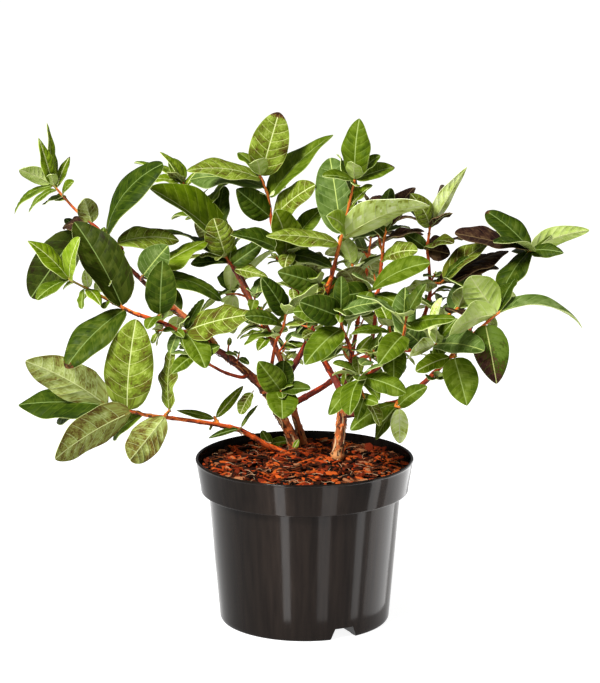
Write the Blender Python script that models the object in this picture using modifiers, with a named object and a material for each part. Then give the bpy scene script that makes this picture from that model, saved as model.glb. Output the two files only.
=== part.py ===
"""Potted honeyberry: a young, leafy shrub in its round nursery pot.

The frame has +X to the right of the plant's front, +Y to its back and +Z up. The origin is the
centre of the pot's flat underside. Tables are in millimetres and the model is in metres.
"""
import math
import random

import bmesh
import bpy
import numpy as np
from mathutils import Matrix, Vector
from mathutils.bvhtree import BVHTree

MM = 0.001
GAP = 0.3               # clearance between pieces that touch
SEED = 11

# Pot
POT_HEIGHT = 144.0
RIM_RADIUS = 95.0
BAND_HEIGHT = 29.0      # the stiff band under the rim
BAND_FOOT_RADIUS = 90.3
BODY_TOP_RADIUS = 83.4
BASE_RADIUS = 74.0
WALL = 1.6
FLOOR = 2.0
EDGE_ROUND = 1.2
POT_STEPS = 44
DRAINS = 3
FIRST_DRAIN_ANGLE = -63.0
DRAIN_FOOT_WIDTH = 25.0
DRAIN_TOP_WIDTH = 17.0
DRAIN_HEIGHT = 10.0
DRAIN_INNER_RADIUS = 40.0

# Growing medium
MEDIUM_TOP = 137.0
MEDIUM_EDGE_DROP = 2.5
MEDIUM_FLAT_RADIUS = 72.0

# Limbs
LIMB_STEP = 17.0
LIMB_BEVEL_RESOLUTION = 2
FLARE = 0.2             # extra share of a basal stem's radius where it leaves the ground
FLARE_REACH = 9.0
STEM_BURIED = 12.0      # a basal stem is drawn this far into the ground before the level cut
TIP_FRACTION = 0.97     # a limb that starts beyond this share of its parent grows on from its tip
TIP_LEAD = 4.0          # straight run of such a limb before its first bend
START_STEP = 0.1        # step of the search for a limb's first clear point

# Twigs
TWIG_STEP = 14.0
TWIG_TIP_RADIUS = 0.9
SIDE_TWIG_ANGLE = 50.0  # degrees between a side twig and its shoot
SIDE_TWIG_LENGTH = 30.0
SIDE_TWIG_ARCH = 1.5
SIDE_TWIG_TURN = 137.0  # degrees round the shoot from one side twig to the next
SIDE_TWIG_FIRST = 0.25  # share of the shoot below its first side twig
SIDE_TWIG_SPAN = 0.5    # share of the shoot that its side twigs spread over

# Leaves
LEAF_BEND = 38.0        # degrees that a leaf curves back over its length
LEAF_FOLD = 13.0        # degrees that each half is raised from the midrib
LEAF_THICKNESS = 1.1
LEAF_WIDTH = 0.46       # of its length
LEAF_LOWER = 0.88       # below 1 moves a leaf's widest place down from its middle
LEAF_FULLNESS = 0.72    # below 1 makes a leaf's oval fuller at both ends
LEAF_SECTIONS = (0.29, 0.68)
SMALL_LEAF = 32.0       # a leaf shorter than this has one section, at its widest
SMALL_SECTIONS = (0.46,)
SECTION_SWELL = 1.1     # makes up for the straight edges between sections
LEAF_LIGHT = 1.6        # how strongly a leaf turns its upper face to the sky
LEAF_ROLL = 0.45        # radians that a leaf may roll about its midrib
ROOT_SINK = 1.0         # depth of a leaf's root past the middle of its twig
TIP_SEAT = 2.2          # the last leaves are rooted this far below a twig's tip
SEAT_SPREAD = 0.8
LOWEST_LEAF = 150.0

# Pairs of leaves
PAIR_SPAN = 0.8         # share of a twig, from its tip, that its pairs spread over
PAIR_TURN = 90.0        # degrees round the twig from one pair to the next
PAIR_SCATTER = 14.0
TIP_SPREAD = 28.0       # degrees between the last pair and the twig
LOW_SPREAD = 42.0       # degrees more at the twig's foot
TIP_SIZE = 0.72         # the last pair's size beside the others
SIDE_TWIG_PAIRS = 2
SIDE_TWIG_SIZE = 0.85

# Where the leaves are tried
VIEW_SIDE = Vector((0.0, -0.96, 0.29))  # from the plant towards its viewer
EYE = Vector((-4.0, -2038.0, 677.0))    # the viewer: an aimed tip moves along the line from here
AIM_SHIFTS = (0, 10, -10, 20, -20, 30, -30)
TEST_MARGIN = 1.0       # clearance round limbs, twigs and leaves
TRIM = 0.22             # share of a leaf by its root that may meet leaves of its own shoot
LEAF_REACH = 0.6        # share of its length that a leaf reaches from its middle
TRIES = ((0, 0, 1.0), (25, 8, 1.0), (-25, -8, 1.0), (50, 15, 0.9), (-50, -10, 0.9), (0, 25, 0.75),
         (80, 0, 0.7))  # extra turn and extra spread in degrees, and size

# Each limb: the limb it grows from, its radius at the foot and at the tip, its line of bends.
LIMBS = {
    "stem_left": (None, 4.7, 4.2, [(-8, 52, 137), (-13, 47, 154), (-21, 38, 171), (-30, 29, 190),
                                   (-36, 25, 199)]),
    "stem_back": (None, 3.6, 1.5, [(-1, 66, 137), (-10, 63, 172), (-17, 62, 204), (-30, 60, 239),
                                   (-59, 58, 293)]),
    "stem_right": (None, 4.7, 4.0, [(28, 8, 137), (31, 6, 161), (33, 0, 187), (35, -4, 203)]),
    "stem_low": (None, 2.4, 1.6, [(-16, 36, 137), (-35, 28, 148), (-57, 20, 163), (-91, 4, 174),
                                  (-134, -9, 183)]),
    "bough_mid_left": ("stem_left", 3.8, 1.7,
                       [(-52, 20, 216), (-69, 12, 232), (-102, 3, 251), (-123, -4, 264), (-143, -9, 272)]),
    "bough_upper_left": ("bough_mid_left", 2.5, 1.5,
                         [(-72, 11, 234), (-86, 20, 249), (-136, 30, 289), (-161, 36, 314),
                          (-178, 38, 336)]),
    "bough_left_inner": ("bough_mid_left", 1.7, 1.2, [(-48, 20, 212), (-55, 4, 214), (-69, -4, 220),
                                                      (-83, -10, 229)]),
    "bough_centre": ("stem_left", 2.2, 1.4, [(-30, 30, 188), (-29, 14, 204), (-28, 0, 228),
                                             (-25, -10, 246)]),
    "bough_top": ("stem_back", 2.8, 1.6, [(-16, 62, 200), (-3, 52, 225), (9, 42, 252), (21, 30, 288),
                                          (28, 20, 319)]),
    "bough_top_left": ("stem_right", 2.9, 1.6,
                       [(34, -2, 196), (27, 16, 208), (14, 46, 226), (-1, 70, 262), (-15, 66, 296),
                        (-28, 54, 339)]),
    "bough_cross": ("stem_back", 2.8, 1.6,
                    [(-11, 63, 176), (16, 52, 194), (36, 36, 213), (55, 22, 229), (74, 12, 236),
                     (95, 2, 238)]),
    "bough_front": ("stem_right", 2.4, 1.5, [(41, -18, 232), (38, -34, 250), (33, -44, 263)]),
    "bough_low_front": ("stem_right", 2.2, 1.5, [(34, -2, 190), (40, -26, 204), (45, -50, 218)]),
    "bough_front_right": ("stem_right", 2.4, 1.5, [(35, -3, 198), (50, -22, 218), (64, -48, 236),
                                                   (76, -66, 254)]),
    "bough_right_low": ("stem_right", 3.0, 1.6,
                        [(32, 3, 180), (63, -8, 190), (84, -14, 198), (103, -16, 214), (141, -20, 254)]),
    "bough_right_far": ("bough_right_low", 1.9, 1.4, [(134, -19, 246), (146, -4, 266), (158, 6, 278),
                                                      (176, 20, 297)]),
    "bough_centre_right": ("bough_cross", 2.0, 1.4, [(55, 22, 229), (60, 32, 246), (64, 36, 280),
                                                     (67, 36, 308)]),
    "bough_right_mid": ("bough_cross", 2.1, 1.4,
                        [(82, 8, 237), (90, 24, 248), (102, 36, 256), (110, 44, 280), (108, 50, 316)]),
    "bough_back_right": ("bough_cross", 2.0, 1.4, [(40, 33, 216), (44, 60, 232), (50, 90, 258),
                                                   (56, 112, 286)]),
    "bough_back_left": ("stem_back", 1.9, 1.4, [(-16, 62, 202), (-26, 84, 222), (-44, 108, 250)]),
}

# Each leafy shoot: its limb, its line of bends, pairs of leaves, leaf length, turn of the first
# pair in degrees, side twigs, and the leaves that shape the outline: how far along the shoot,
# the tip, the width seen from the front, which is negative where the underside shows, and, on some
# leaves, their own bend in degrees and, on narrow ones, their width as a share of their length.
SHOOTS = {
    "leaves_upper_left_tip": (
        "bough_upper_left", [(-200, 40, 356), (-221, 42, 380)], 0, 34, 20, 0,
        [(0.97, (-223, 48, 430), 5, 8, 0.2), (0.95, (-229, 32, 419), 11, 14, 0.26),
         (0.93, (-220, 58, 408), 7, 14, 0.24), (1.0, (-245, 22, 393), -15),
         (0.86, (-205, 60, 399), 8, 20, 0.24), (0.85, (-238, 22, 356), 7, 75, 0.22),
         (0.9, (-254, 52, 350), 7, 75, 0.22), (0.72, (-199, 25, 382), 9),
         (0.7, (-229, 60, 357), 7), (0.15, (-190, 20, 368), -18), (0.2, (-213, 60, 336), 9)]),
    "leaves_far_left": (
        "bough_upper_left", [(-176, 50, 325), (-201, 62, 333)], 1, 46, 70, 0,
        [(1.0, (-242, 62, 273), 36, 30)]),
    "leaves_mid_left_tip": (
        "bough_mid_left", [(-176, -17, 291), (-201, -24, 306)], 0, 40, 0, 0,
        [(0.2, (-197, 6, 350), 31, 24), (0.16, (-202, -45, 233), 26), (1.0, (-233, -32, 340), 14),
         (1.0, (-190, -28, 342), 17), (0.97, (-226, -40, 291), 9), (0.75, (-189, -30, 281), 5),
         (0.72, (-172, -38, 286), 8), (0.7, (-185, -34, 316), 9), (0.62, (-164, -35, 309), 12)]),
    "leaves_left_node": (
        "bough_mid_left", [(-123, -16, 273)], 0, 40, 0, 0,
        [(1.0, (-120, -28, 322), 26), (0.8, (-133, -40, 266), 9)]),
    "leaves_left_mid": (
        "bough_mid_left", [(-101, -10, 258)], 0, 50, 0, 0,
        [(1.0, (-41, -30, 277), 28), (0.8, (-88, 10, 282), 10), (0.6, (-84, -40, 232), 17)]),
    "leaves_upper_left_mid": (
        "bough_upper_left", [(-158, 24, 324), (-173, 20, 336)], 0, 60, 0, 0,
        [(1.0, (-121, 8, 400), 19, 60), (0.6, (-109, 40, 328), 18, 44)]),
    "leaves_left_high": (
        "bough_upper_left", [(-140, 16, 301)], 0, 40, 0, 0,
        [(1.0, (-117, 2, 330), 26), (0.9, (-85, 42, 328), 25, 14), (0.3, (-72, 26, 278), 12, 60)]),
    "leaves_low_left_tip": (
        "stem_low", [(-153, -14, 189), (-172, -18, 195)], 0, 60, 0, 0,
        [(0.5, (-143, -30, 272), 40), (1.0, (-235, -52, 241), -29), (1.0, (-249, 6, 189), 32, 25),
         (0.9, (-216, 34, 170), 22), (0.4, (-211, -64, 159), -26), (0.1, (-168, 14, 156), 10)]),
    "leaves_low_left_mid": (
        "stem_low", [(-116, -18, 190)], 0, 50, 0, 0,
        [(0.15, (-149, -46, 153), -28), (1.0, (-114, -12, 243), 14)]),
    "leaves_low_left_inner": (
        "stem_low", [(-79, 22, 174)], 0, 30, 0, 0,
        [(0.9, (-112, 10, 183), 6, 14, 0.2), (1.0, (-54, 36, 199), 9, 16, 0.22)]),
    "leaves_centre": (
        "bough_centre", [(-18, -18, 264), (-16, -22, 276)], 2, 40, 60, 1,
        [(1.0, (-36, -36, 309), 19), (1.0, (11, -30, 303), -10), (0.3, (-51, -40, 252), 8)]),
    "leaves_left_inner": (
        "bough_left_inner", [(-96, -16, 240)], 1, 32, 0, 0,
        [(1.0, (-113, -34, 226), 12), (0.6, (-72, -34, 250), 11)]),
    "leaves_knot": (
        "stem_left", [(-22, 22, 186), (-20, 2, 203)], 1, 24, 30, 0,
        [(1.0, (-19, -24, 184), 27, 30), (1.0, (5, -14, 208), 10), (1.0, (-40, 8, 227), 22, 30),
         (0.9, (-18, 12, 227), 20, 30)]),
    "leaves_back_tip": (
        "stem_back", [(-70, 56, 312)], 2, 42, 45, 0,
        [(1.0, (-79, 42, 347), 26), (0.5, (-37, 62, 322), 16, 20), (0.9, (-126, 96, 329), 12, 25),
         (0.35, (-32, 48, 294), 13)]),
    "leaves_high_left": (
        "stem_back", [(-48, 74, 274), (-78, 84, 330), (-109, 90, 373)], 3, 46, 20, 1,
        [(0.45, (-135, 48, 373), 30), (0.55, (-71, 74, 371), 17), (1.0, (-128, 92, 399), 7),
         (1.0, (-139, 80, 376), 9), (0.95, (-150, 100, 388), 8)]),
    "leaves_top_left": (
        "bough_top_left", [(-32, 50, 366), (-39, 46, 385)], 1, 46, 80, 0,
        [(1.0, (-22, 40, 440), 32, 20), (0.5, (25, 62, 418), 24, 30),
         (0.9, (-101, 22, 392), 21, 44), (0.7, (-101, 80, 376), 16), (1.0, (-58, 66, 402), 9),
         (0.15, (-59, 34, 374), 24), (0.1, (9, 26, 379), 18)]),
    "leaves_top_left_low": (
        "bough_top_left", [(-13, 42, 312), (-12, 34, 318)], 1, 44, 0, 0,
        [(0.3, (-25, 10, 359), 22), (0.45, (-64, 30, 335), 18), (1.0, (23, 16, 309), 15),
         (0.35, (16, 44, 357), 17)]),
    "leaves_top": (
        "bough_top", [(36, 8, 355), (43, 0, 389)], 1, 44, 15, 1,
        [(1.0, (46, -6, 440), 21, 24), (1.0, (77, 15, 396), 17), (0.95, (15, -16, 393), 9),
         (0.8, (28, 30, 405), 13), (0.25, (22, 44, 400), 34), (0.6, (57, -16, 385), 11),
         (0.2, (104, -22, 369), -21), (0.15, (-33, 0, 339), 18), (0.3, (19, -26, 360), 17)]),
    "leaves_centre_high": (
        "bough_top", [(18, 10, 292), (12, 2, 297)], 1, 42, 40, 0,
        [(1.0, (-23, -8, 309), 21)]),
    "leaves_front_centre": (
        "bough_front", [(30, -54, 278), (30, -60, 286)], 2, 44, 45, 1,
        [(0.7, (-4, -76, 296), 24), (0.2, (0, -80, 244), 22), (1.0, (69, -66, 294), 15)]),
    "leaves_low_front": (
        "bough_low_front", [(46, -62, 227), (48, -70, 232)], 2, 36, 0, 1,
        [(0.5, (20, -88, 203), 17), (0.7, (37, -96, 205), 17), (1.0, (84, -80, 220), 15)]),
    "leaves_low_right": (
        "bough_right_low", [(78, -28, 196), (82, -34, 196)], 0, 34, 50, 0,
        [(0.8, (104, -40, 216), 13), (0.2, (39, -36, 177), 13), (0.7, (60, -50, 172), 14),
         (1.0, (81, -44, 167), 15)]),
    "leaves_right_low_tip": (
        "bough_right_low", [(155, -24, 268), (166, -26, 278)], 0, 50, 30, 0,
        [(1.0, (237, -20, 263), 12, 90, 0.28), (0.5, (162, -52, 221), 30),
         (0.9, (120, -64, 265), -17), (0.9, (139, -44, 312), -30), (1.0, (180, -2, 302), 11)]),
    "leaves_right_low_mid": (
        "bough_right_low", [(124, -34, 240), (128, -40, 242)], 0, 42, 80, 0,
        [(0.9, (137, -56, 203), 29), (0.5, (94, -44, 230), 13)]),
    "leaves_right_mid": (
        "bough_cross", [(114, -12, 247)], 1, 40, 10, 0,
        [(1.0, (88, -36, 240), -12), (1.0, (117, -6, 286), 7), (0.5, (80, -28, 266), 18),
         (1.0, (152, -34, 246), 22), (0.9, (130, -20, 271), 12)]),
    "leaves_right_far": (
        "bough_right_far", [(197, 30, 323)], 0, 50, 0, 0,
        [(1.0, (159, 52, 352), 21), (1.0, (129, 12, 339), 13, 4), (0.9, (162, 2, 333), 9),
         (0.95, (165, -8, 281), 19), (1.0, (248, 42, 337), -17, 85, 0.3),
         (1.0, (223, 12, 322), 13), (0.8, (223, 78, 317), 9)]),
    "leaves_right_tip": (
        "bough_right_mid", [(110, 52, 339)], 1, 40, 90, 0,
        [(1.0, (142, 60, 390), -13, 10, 0.28), (0.9, (123, 80, 367), 10), (1.0, (92, 34, 370), 17),
         (0.04, (127, 40, 316), 17), (0.04, (140, 80, 322), 12), (0.06, (87, 60, 331), 12),
         (0.06, (128, 16, 330), 11, 60)]),
    "leaves_right_high": (
        "bough_right_mid", [(118, 30, 292), (122, 26, 296)], 1, 46, 60, 0,
        [(1.0, (170, 26, 334), 19), (0.6, (170, 46, 303), 16), (0.5, (86, 14, 287), 12),
         (0.8, (180, 64, 315), 19, 30)]),
    "leaves_centre_right": (
        "bough_centre_right", [(69, 34, 328), (72, 36, 342)], 2, 44, 20, 1,
        [(1.0, (96, 52, 373), 17), (0.8, (75, 68, 370), 15), (0.05, (97, 12, 324), 12)]),
    "leaves_centre_right_mid": (
        "bough_centre_right", [(60, 16, 284), (56, 8, 290)], 2, 44, 45, 0,
        [(1.0, (20, -10, 286), 21), (0.9, (107, -2, 316), 14)]),
    "leaves_front_right": (
        "bough_front_right", [(82, -80, 270), (84, -88, 288)], 3, 46, 20, 1, []),
    "leaves_centre_cross": (
        "bough_cross", [(76, -6, 246), (72, -14, 264)], 3, 42, 30, 0,
        [(0.4, (76, -28, 215), 21)]),
    "leaves_right_inner": (
        "bough_right_mid", [(118, 26, 260), (134, 14, 274)], 3, 48, 60, 1, []),
    "leaves_right_back": (
        "bough_right_far", [(146, 28, 280), (138, 50, 300)], 3, 50, 10, 1, []),
    "leaves_centre_back": (
        "bough_centre_right", [(48, 54, 276), (42, 68, 304)], 3, 50, 50, 1, []),
    "leaves_back_mid": (
        "bough_back_right", [(20, 94, 258), (-2, 106, 290)], 3, 52, 0, 2, []),
    "leaves_back_right": (
        "bough_back_right", [(60, 130, 310), (62, 142, 336)], 4, 54, 10, 3, []),
    "leaves_back_left": (
        "bough_back_left", [(-62, 128, 278), (-78, 142, 306)], 4, 54, 40, 3, []),
}

LEAF_GREEN = (0.10, 0.20, 0.035, 1.0)
BARK_BROWN = (0.22, 0.12, 0.07, 1.0)
POT_BLACK = (0.028, 0.026, 0.025, 1.0)
MEDIUM_BROWN = (0.16, 0.055, 0.02, 1.0)


def clear_scene():
    for old in list(bpy.data.objects):
        bpy.data.objects.remove(old, do_unlink=True)


def new_collection(name):
    collection = bpy.data.collections.new(name)
    bpy.context.scene.collection.children.link(collection)
    return collection


def new_material(name, colour, roughness):
    material = bpy.data.materials.new(name)
    material.use_nodes = True
    shader = material.node_tree.nodes["Principled BSDF"]
    shader.inputs["Base Color"].default_value = colour
    shader.inputs["Roughness"].default_value = roughness
    shader.inputs["Metallic"].default_value = 0.0
    return material


# Paths

def smooth_path(points, step):
    """A smooth line through the points, as Vectors about one step apart."""
    knots = [Vector(p) for p in points]
    ends = [knots[0] * 2 - knots[1]] + knots + [knots[-1] * 2 - knots[-2]]
    path = [knots[0]]
    for before, start, end, after in zip(ends, ends[1:], ends[2:], ends[3:]):
        span = (end - start).length
        pull_out = (end - before) * 0.5 * min(1.0, span / (start - before).length)
        pull_in = (after - start) * 0.5 * min(1.0, span / (after - end).length)
        pieces = max(1, round(span / step))
        for i in range(1, pieces + 1):
            t = i / pieces
            path.append(start * (2 * t ** 3 - 3 * t ** 2 + 1) + pull_out * (t ** 3 - 2 * t ** 2 + t)
                        + end * (3 * t ** 2 - 2 * t ** 3) + pull_in * (t ** 3 - t ** 2))
    return path


def tapered(path, first, last):
    """A radius for each point of a path, from the first to the last."""
    lengths = [0.0]
    for a, b in zip(path, path[1:]):
        lengths.append(lengths[-1] + (b - a).length)
    return [first + (last - first) * s / lengths[-1] for s in lengths]


def along(path, fraction):
    """The point and direction at a fraction of a path's length."""
    spans = [(b - a).length for a, b in zip(path, path[1:])]
    left = fraction * sum(spans)
    for a, b, span in zip(path, path[1:], spans):
        if left <= span or b is path[-1]:
            return a + (b - a) * min(1.0, left / span), (b - a).normalized()
        left -= span


def nearest_on(path, radii, point):
    """The nearest point of a path's line, the radius there and the fraction along the path."""
    spans = [(b - a).length for a, b in zip(path, path[1:])]
    best = None
    done = 0.0
    for a, b, r0, r1, span in zip(path, path[1:], radii, radii[1:], spans):
        t = min(1.0, max(0.0, (point - a).dot(b - a) / span ** 2))
        foot = a + (b - a) * t
        far = (point - foot).length
        if best is None or far < best[0]:
            best = (far, foot, r0 + (r1 - r0) * t, (done + span * t) / sum(spans))
        done += span
    return best


def leaf_seat(path, fraction, rng):
    """Where a leaf is rooted on its twig, below its tip and a little apart from its neighbours."""
    length = sum((b - a).length for a, b in zip(path, path[1:]))
    share = min(fraction, 1.0 - TIP_SEAT / length) + rng.uniform(-SEAT_SPREAD, SEAT_SPREAD) / length
    return along(path, max(share, TIP_SEAT / length))


def any_side(direction):
    """A unit vector square to a direction."""
    return direction.orthogonal().normalized()


def clear_start(parent, foot, towards, radius):
    """The first point on a line from a limb's middle where a flat end is clear of the limb."""
    path, radii = parent
    direction = (towards - foot).normalized()
    u = any_side(direction)
    v = direction.cross(u)
    reach = 0.0
    while True:
        centre = foot + direction * reach
        angles = np.linspace(0, 2 * math.pi, 13)
        rim = [centre + (u * math.cos(a) + v * math.sin(a)) * radius for a in angles]
        spare = min(far - r for far, _, r, _ in (nearest_on(path, radii, p) for p in rim + [centre]))
        if spare >= GAP:
            return centre
        reach += START_STEP


def grown_path(parent, points, radius, step):
    """The path of a limb or shoot that grows from its parent's tip or side, a gap clear of it."""
    path, radii = parent
    points = [Vector(p) for p in points]
    _, foot, _, fraction = nearest_on(path, radii, points[0])
    if fraction > TIP_FRACTION:
        end, direction = path[-1], (path[-1] - path[-2]).normalized()
        lead = [end + direction * GAP, end + direction * TIP_LEAD]
        return smooth_path(lead + points, step)
    goal = points[0] if (points[0] - foot).length > radius * 2.5 else points[1]
    rest = points if goal is points[0] else points[1:]
    return smooth_path([clear_start(parent, foot, goal, radius)] + rest, step)


# Limbs

def limb_plan():
    """The path and radii of each limb, in millimetres."""
    plan = {}
    for name, (parent, first, last, points) in LIMBS.items():
        if parent is None:
            path = smooth_path(points, LIMB_STEP)
            radii = tapered(path, first, last)
            rise = [p.z - MEDIUM_TOP for p in path]
            radii = [r * (1 + FLARE * math.exp(-h / FLARE_REACH)) for r, h in zip(radii, rise)]
        else:
            path = grown_path(plan[parent], points, first, LIMB_STEP)
            radii = tapered(path, first, last)
        plan[name] = (path, radii)
    return plan


# Leaves. A leaf is (root, direction, normal, length, width, bend): its midrib is an arc that
# leaves its root along the direction and curves away from the normal.

def midrib(leaf, s):
    """The point, direction and upper normal at a fraction of a leaf's length."""
    root, direction, normal, length, _, bend = leaf
    angle = bend * s
    point = root + (direction * math.sin(angle) - normal * (1 - math.cos(angle))) * (length / bend)
    return (point, direction * math.cos(angle) - normal * math.sin(angle),
            normal * math.cos(angle) + direction * math.sin(angle))


def half_width(leaf, s):
    """Half the blade's width: a rounded oval, widest a little below its middle."""
    return leaf[4] * 0.5 * math.sin(math.pi * s ** LEAF_LOWER) ** LEAF_FULLNESS


def leaf_solid(leaf, first=0.0, thickness=LEAF_THICKNESS, spread=0.0):
    """The points and faces of one leaf: a folded, arching lens with 8 or 16 faces."""
    fold = math.radians(LEAF_FOLD)
    sections = SMALL_SECTIONS if leaf[3] < SMALL_LEAF else LEAF_SECTIONS
    spots = [midrib(leaf, first)[0]]
    for s in sections:
        point, forward, up = midrib(leaf, max(s, first + 0.1))
        side = forward.cross(up) * math.cos(fold) + up * math.sin(fold)
        other = forward.cross(up) * -math.cos(fold) + up * math.sin(fold)
        reach = half_width(leaf, s) * SECTION_SWELL + spread
        spots += [point + side * reach, point + up * (thickness / 2),
                  point + other * reach, point - up * (thickness / 2)]
    end, forward, _ = midrib(leaf, 1.0)
    spots.append(end + forward * spread)
    tip = len(spots) - 1
    faces = []
    for k in range(4):
        a, b = 1 + k, 1 + (k + 1) % 4
        faces.append((0, a, b))
        for far_a, far_b in ((a + step, b + step) for step in range(4, tip - 1, 4)):
            near_a, near_b = far_a - 4, far_b - 4
            if k % 2 == 0:
                faces += [(near_a, far_a, near_b), (near_b, far_a, far_b)]
            else:
                faces += [(near_a, far_b, near_b), (near_a, far_a, far_b)]
        faces.append((a + tip - 5, tip, b + tip - 5))
    return spots, faces


def aimed_leaf(root, tip, seen_width, bend, share, rng):
    """A leaf with its root and tip in given places, turned so that its width looks as given."""
    chord = tip - root
    bend = math.radians(bend if bend else LEAF_BEND * rng.uniform(0.6, 1.3))
    length = chord.length * (bend / 2) / math.sin(bend / 2)
    width = max(abs(seen_width), share * length)
    ahead = chord.normalized()
    facing = (VIEW_SIDE - ahead * VIEW_SIDE.dot(ahead)).normalized()
    upward = ahead.cross(facing)
    if upward.z < 0:
        upward = -upward
    lean = math.acos(min(1.0, abs(seen_width) / width))
    normal = facing * math.copysign(math.cos(lean), seen_width) + upward * math.sin(lean)
    direction = ahead * math.cos(bend / 2) + normal * math.sin(bend / 2)
    upper = normal * math.cos(bend / 2) - ahead * math.sin(bend / 2)
    return root - direction * ROOT_SINK, direction, upper, length + ROOT_SINK, width, bend


def rule_leaf(root, stem, side, spread, length, rng):
    """A leaf of a pair: it leaves its stem at an angle and turns its upper face to the light."""
    direction = (stem * math.cos(spread) + side * math.sin(spread)).normalized()
    inner = (stem - direction * stem.dot(direction)).normalized()
    light = Vector((0, 0, 1)) - direction * direction.z
    light = light.normalized() if light.length > 0.2 else inner
    normal = (inner + light * LEAF_LIGHT).normalized()
    normal = Matrix.Rotation(rng.uniform(-LEAF_ROLL, LEAF_ROLL), 3, direction) @ normal
    bend = math.radians(LEAF_BEND * rng.uniform(0.6, 1.5))
    width = length * LEAF_WIDTH * rng.uniform(0.9, 1.1)
    return root - direction * ROOT_SINK, direction, normal, length, width, bend


def tree_of(spots, faces):
    return BVHTree.FromPolygons([tuple(p) for p in spots], faces)


def tube_solid(path, radii, sides=5):
    """The points and faces of a plain tube round a path, used to test for touching."""
    spots = []
    faces = []
    for i, (point, radius) in enumerate(zip(path, radii)):
        forward = (path[min(i + 1, len(path) - 1)] - path[max(i - 1, 0)]).normalized()
        u = any_side(forward)
        v = forward.cross(u)
        for k in range(sides):
            a = 2 * math.pi * k / sides
            spots.append(point + (u * math.cos(a) + v * math.sin(a)) * radius)
    for i in range(len(path) - 1):
        for k in range(sides):
            a, b = i * sides + k, i * sides + (k + 1) % sides
            faces.append((a, b, b + sides, a + sides))
    return spots, faces


def widened_tube(path, radii):
    return tree_of(*tube_solid(path, [r + TEST_MARGIN for r in radii]))


class Crown:
    """What is already in the crown, so that each new leaf can be tested against it."""

    def __init__(self, limbs):
        self.limbs = {name: widened_tube(*limb) for name, limb in limbs.items()}
        self.twigs = []
        self.leaves = []

    def add_twig(self, shoot, path, radii):
        self.twigs.append((shoot, widened_tube(path, radii)))

    def twig_fits(self, shoot, path, radii):
        """True if a side twig stays clear of the limbs, of other shoots' twigs and of every leaf."""
        tree = widened_tube(path, radii)
        others = list(self.limbs.values())
        others += [twig for owner, twig in self.twigs if owner != shoot]
        others += [leaf[3] for leaf in self.leaves]
        return not any(tree.overlap(other) for other in others)

    def fits(self, shoot, leaf):
        """True if a leaf stays clear of the ground, the limbs, the twigs and every other leaf."""
        whole_spots, faces = leaf_solid(leaf, 0.0, LEAF_THICKNESS + TEST_MARGIN, TEST_MARGIN)
        if min(p.z for p in whole_spots) < LOWEST_LEAF:
            return False
        whole = tree_of(whole_spots, faces)
        blade = tree_of(*leaf_solid(leaf, TRIM, LEAF_THICKNESS + TEST_MARGIN, TEST_MARGIN))
        for name, limb in self.limbs.items():
            if (blade if name == SHOOTS[shoot][0] else whole).overlap(limb):
                return False
        for owner, twig in self.twigs:
            if (blade if owner == shoot else whole).overlap(twig):
                return False
        centre = midrib(leaf, 0.5)[0]
        reach = leaf[3] * LEAF_REACH
        for owner, other_centre, other_reach, other_whole, other_blade in self.leaves:
            if (centre - other_centre).length > reach + other_reach:
                continue
            if owner == shoot:
                if blade.overlap(other_blade):
                    return False
            elif whole.overlap(other_whole):
                return False
        self.leaves.append((shoot, centre, reach, whole, blade))
        return True


def pairs_on(crown, shoot, path, count, length, turn, rng):
    """Opposite pairs of leaves up a twig, each pair square to the last, where they fit."""
    leaves = []
    for k in range(count):
        fraction = 1.0 - PAIR_SPAN * k / count
        spread = math.radians(TIP_SPREAD + LOW_SPREAD * (1 - fraction) ** 0.6)
        size = length * (TIP_SIZE if k == 0 else rng.uniform(0.85, 1.1))
        for half in (0, 180):
            root, stem = leaf_seat(path, fraction, rng)
            first_side = any_side(stem)
            twist = turn + PAIR_TURN * k + half + rng.uniform(-PAIR_SCATTER, PAIR_SCATTER)
            for extra_turn, extra_spread, shrink in TRIES:
                side = Matrix.Rotation(math.radians(twist + extra_turn), 3, stem) @ first_side
                leaf = rule_leaf(root, stem, side, spread + math.radians(extra_spread), size * shrink, rng)
                if crown.fits(shoot, leaf):
                    leaves.append(leaf)
                    break
    return leaves


def aimed_leaves(crown, shoot, path, rows, rng):
    """The leaves that shape the outline; a tip moves along the line of sight if it doesn't fit."""
    leaves = []
    for fraction, tip, seen_width, *shape in rows:
        bend = shape[0] if shape else None
        share = shape[1] if len(shape) > 1 else LEAF_WIDTH
        root, _ = leaf_seat(path, fraction, rng)
        tip = Vector(tip)
        sight = (tip - EYE).normalized()
        for shift in AIM_SHIFTS:
            leaf = aimed_leaf(root, tip + sight * shift, seen_width, bend, share, rng)
            if crown.fits(shoot, leaf):
                leaves.append(leaf)
                break
    return leaves


def side_twig_path(path, index, count, turn, rng):
    """A short twig from the side of a shoot, a little arched."""
    root, stem = along(path, SIDE_TWIG_FIRST + SIDE_TWIG_SPAN * index / count)
    side = Matrix.Rotation(math.radians(turn + SIDE_TWIG_TURN * index + 45), 3, stem) @ any_side(stem)
    angle = math.radians(SIDE_TWIG_ANGLE)
    heading = (stem * math.cos(angle) + side * math.sin(angle)).normalized()
    end = root + heading * SIDE_TWIG_LENGTH * rng.uniform(0.8, 1.2)
    return [root, (root + end) * 0.5 + Vector((0, 0, SIDE_TWIG_ARCH)), end]


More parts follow.
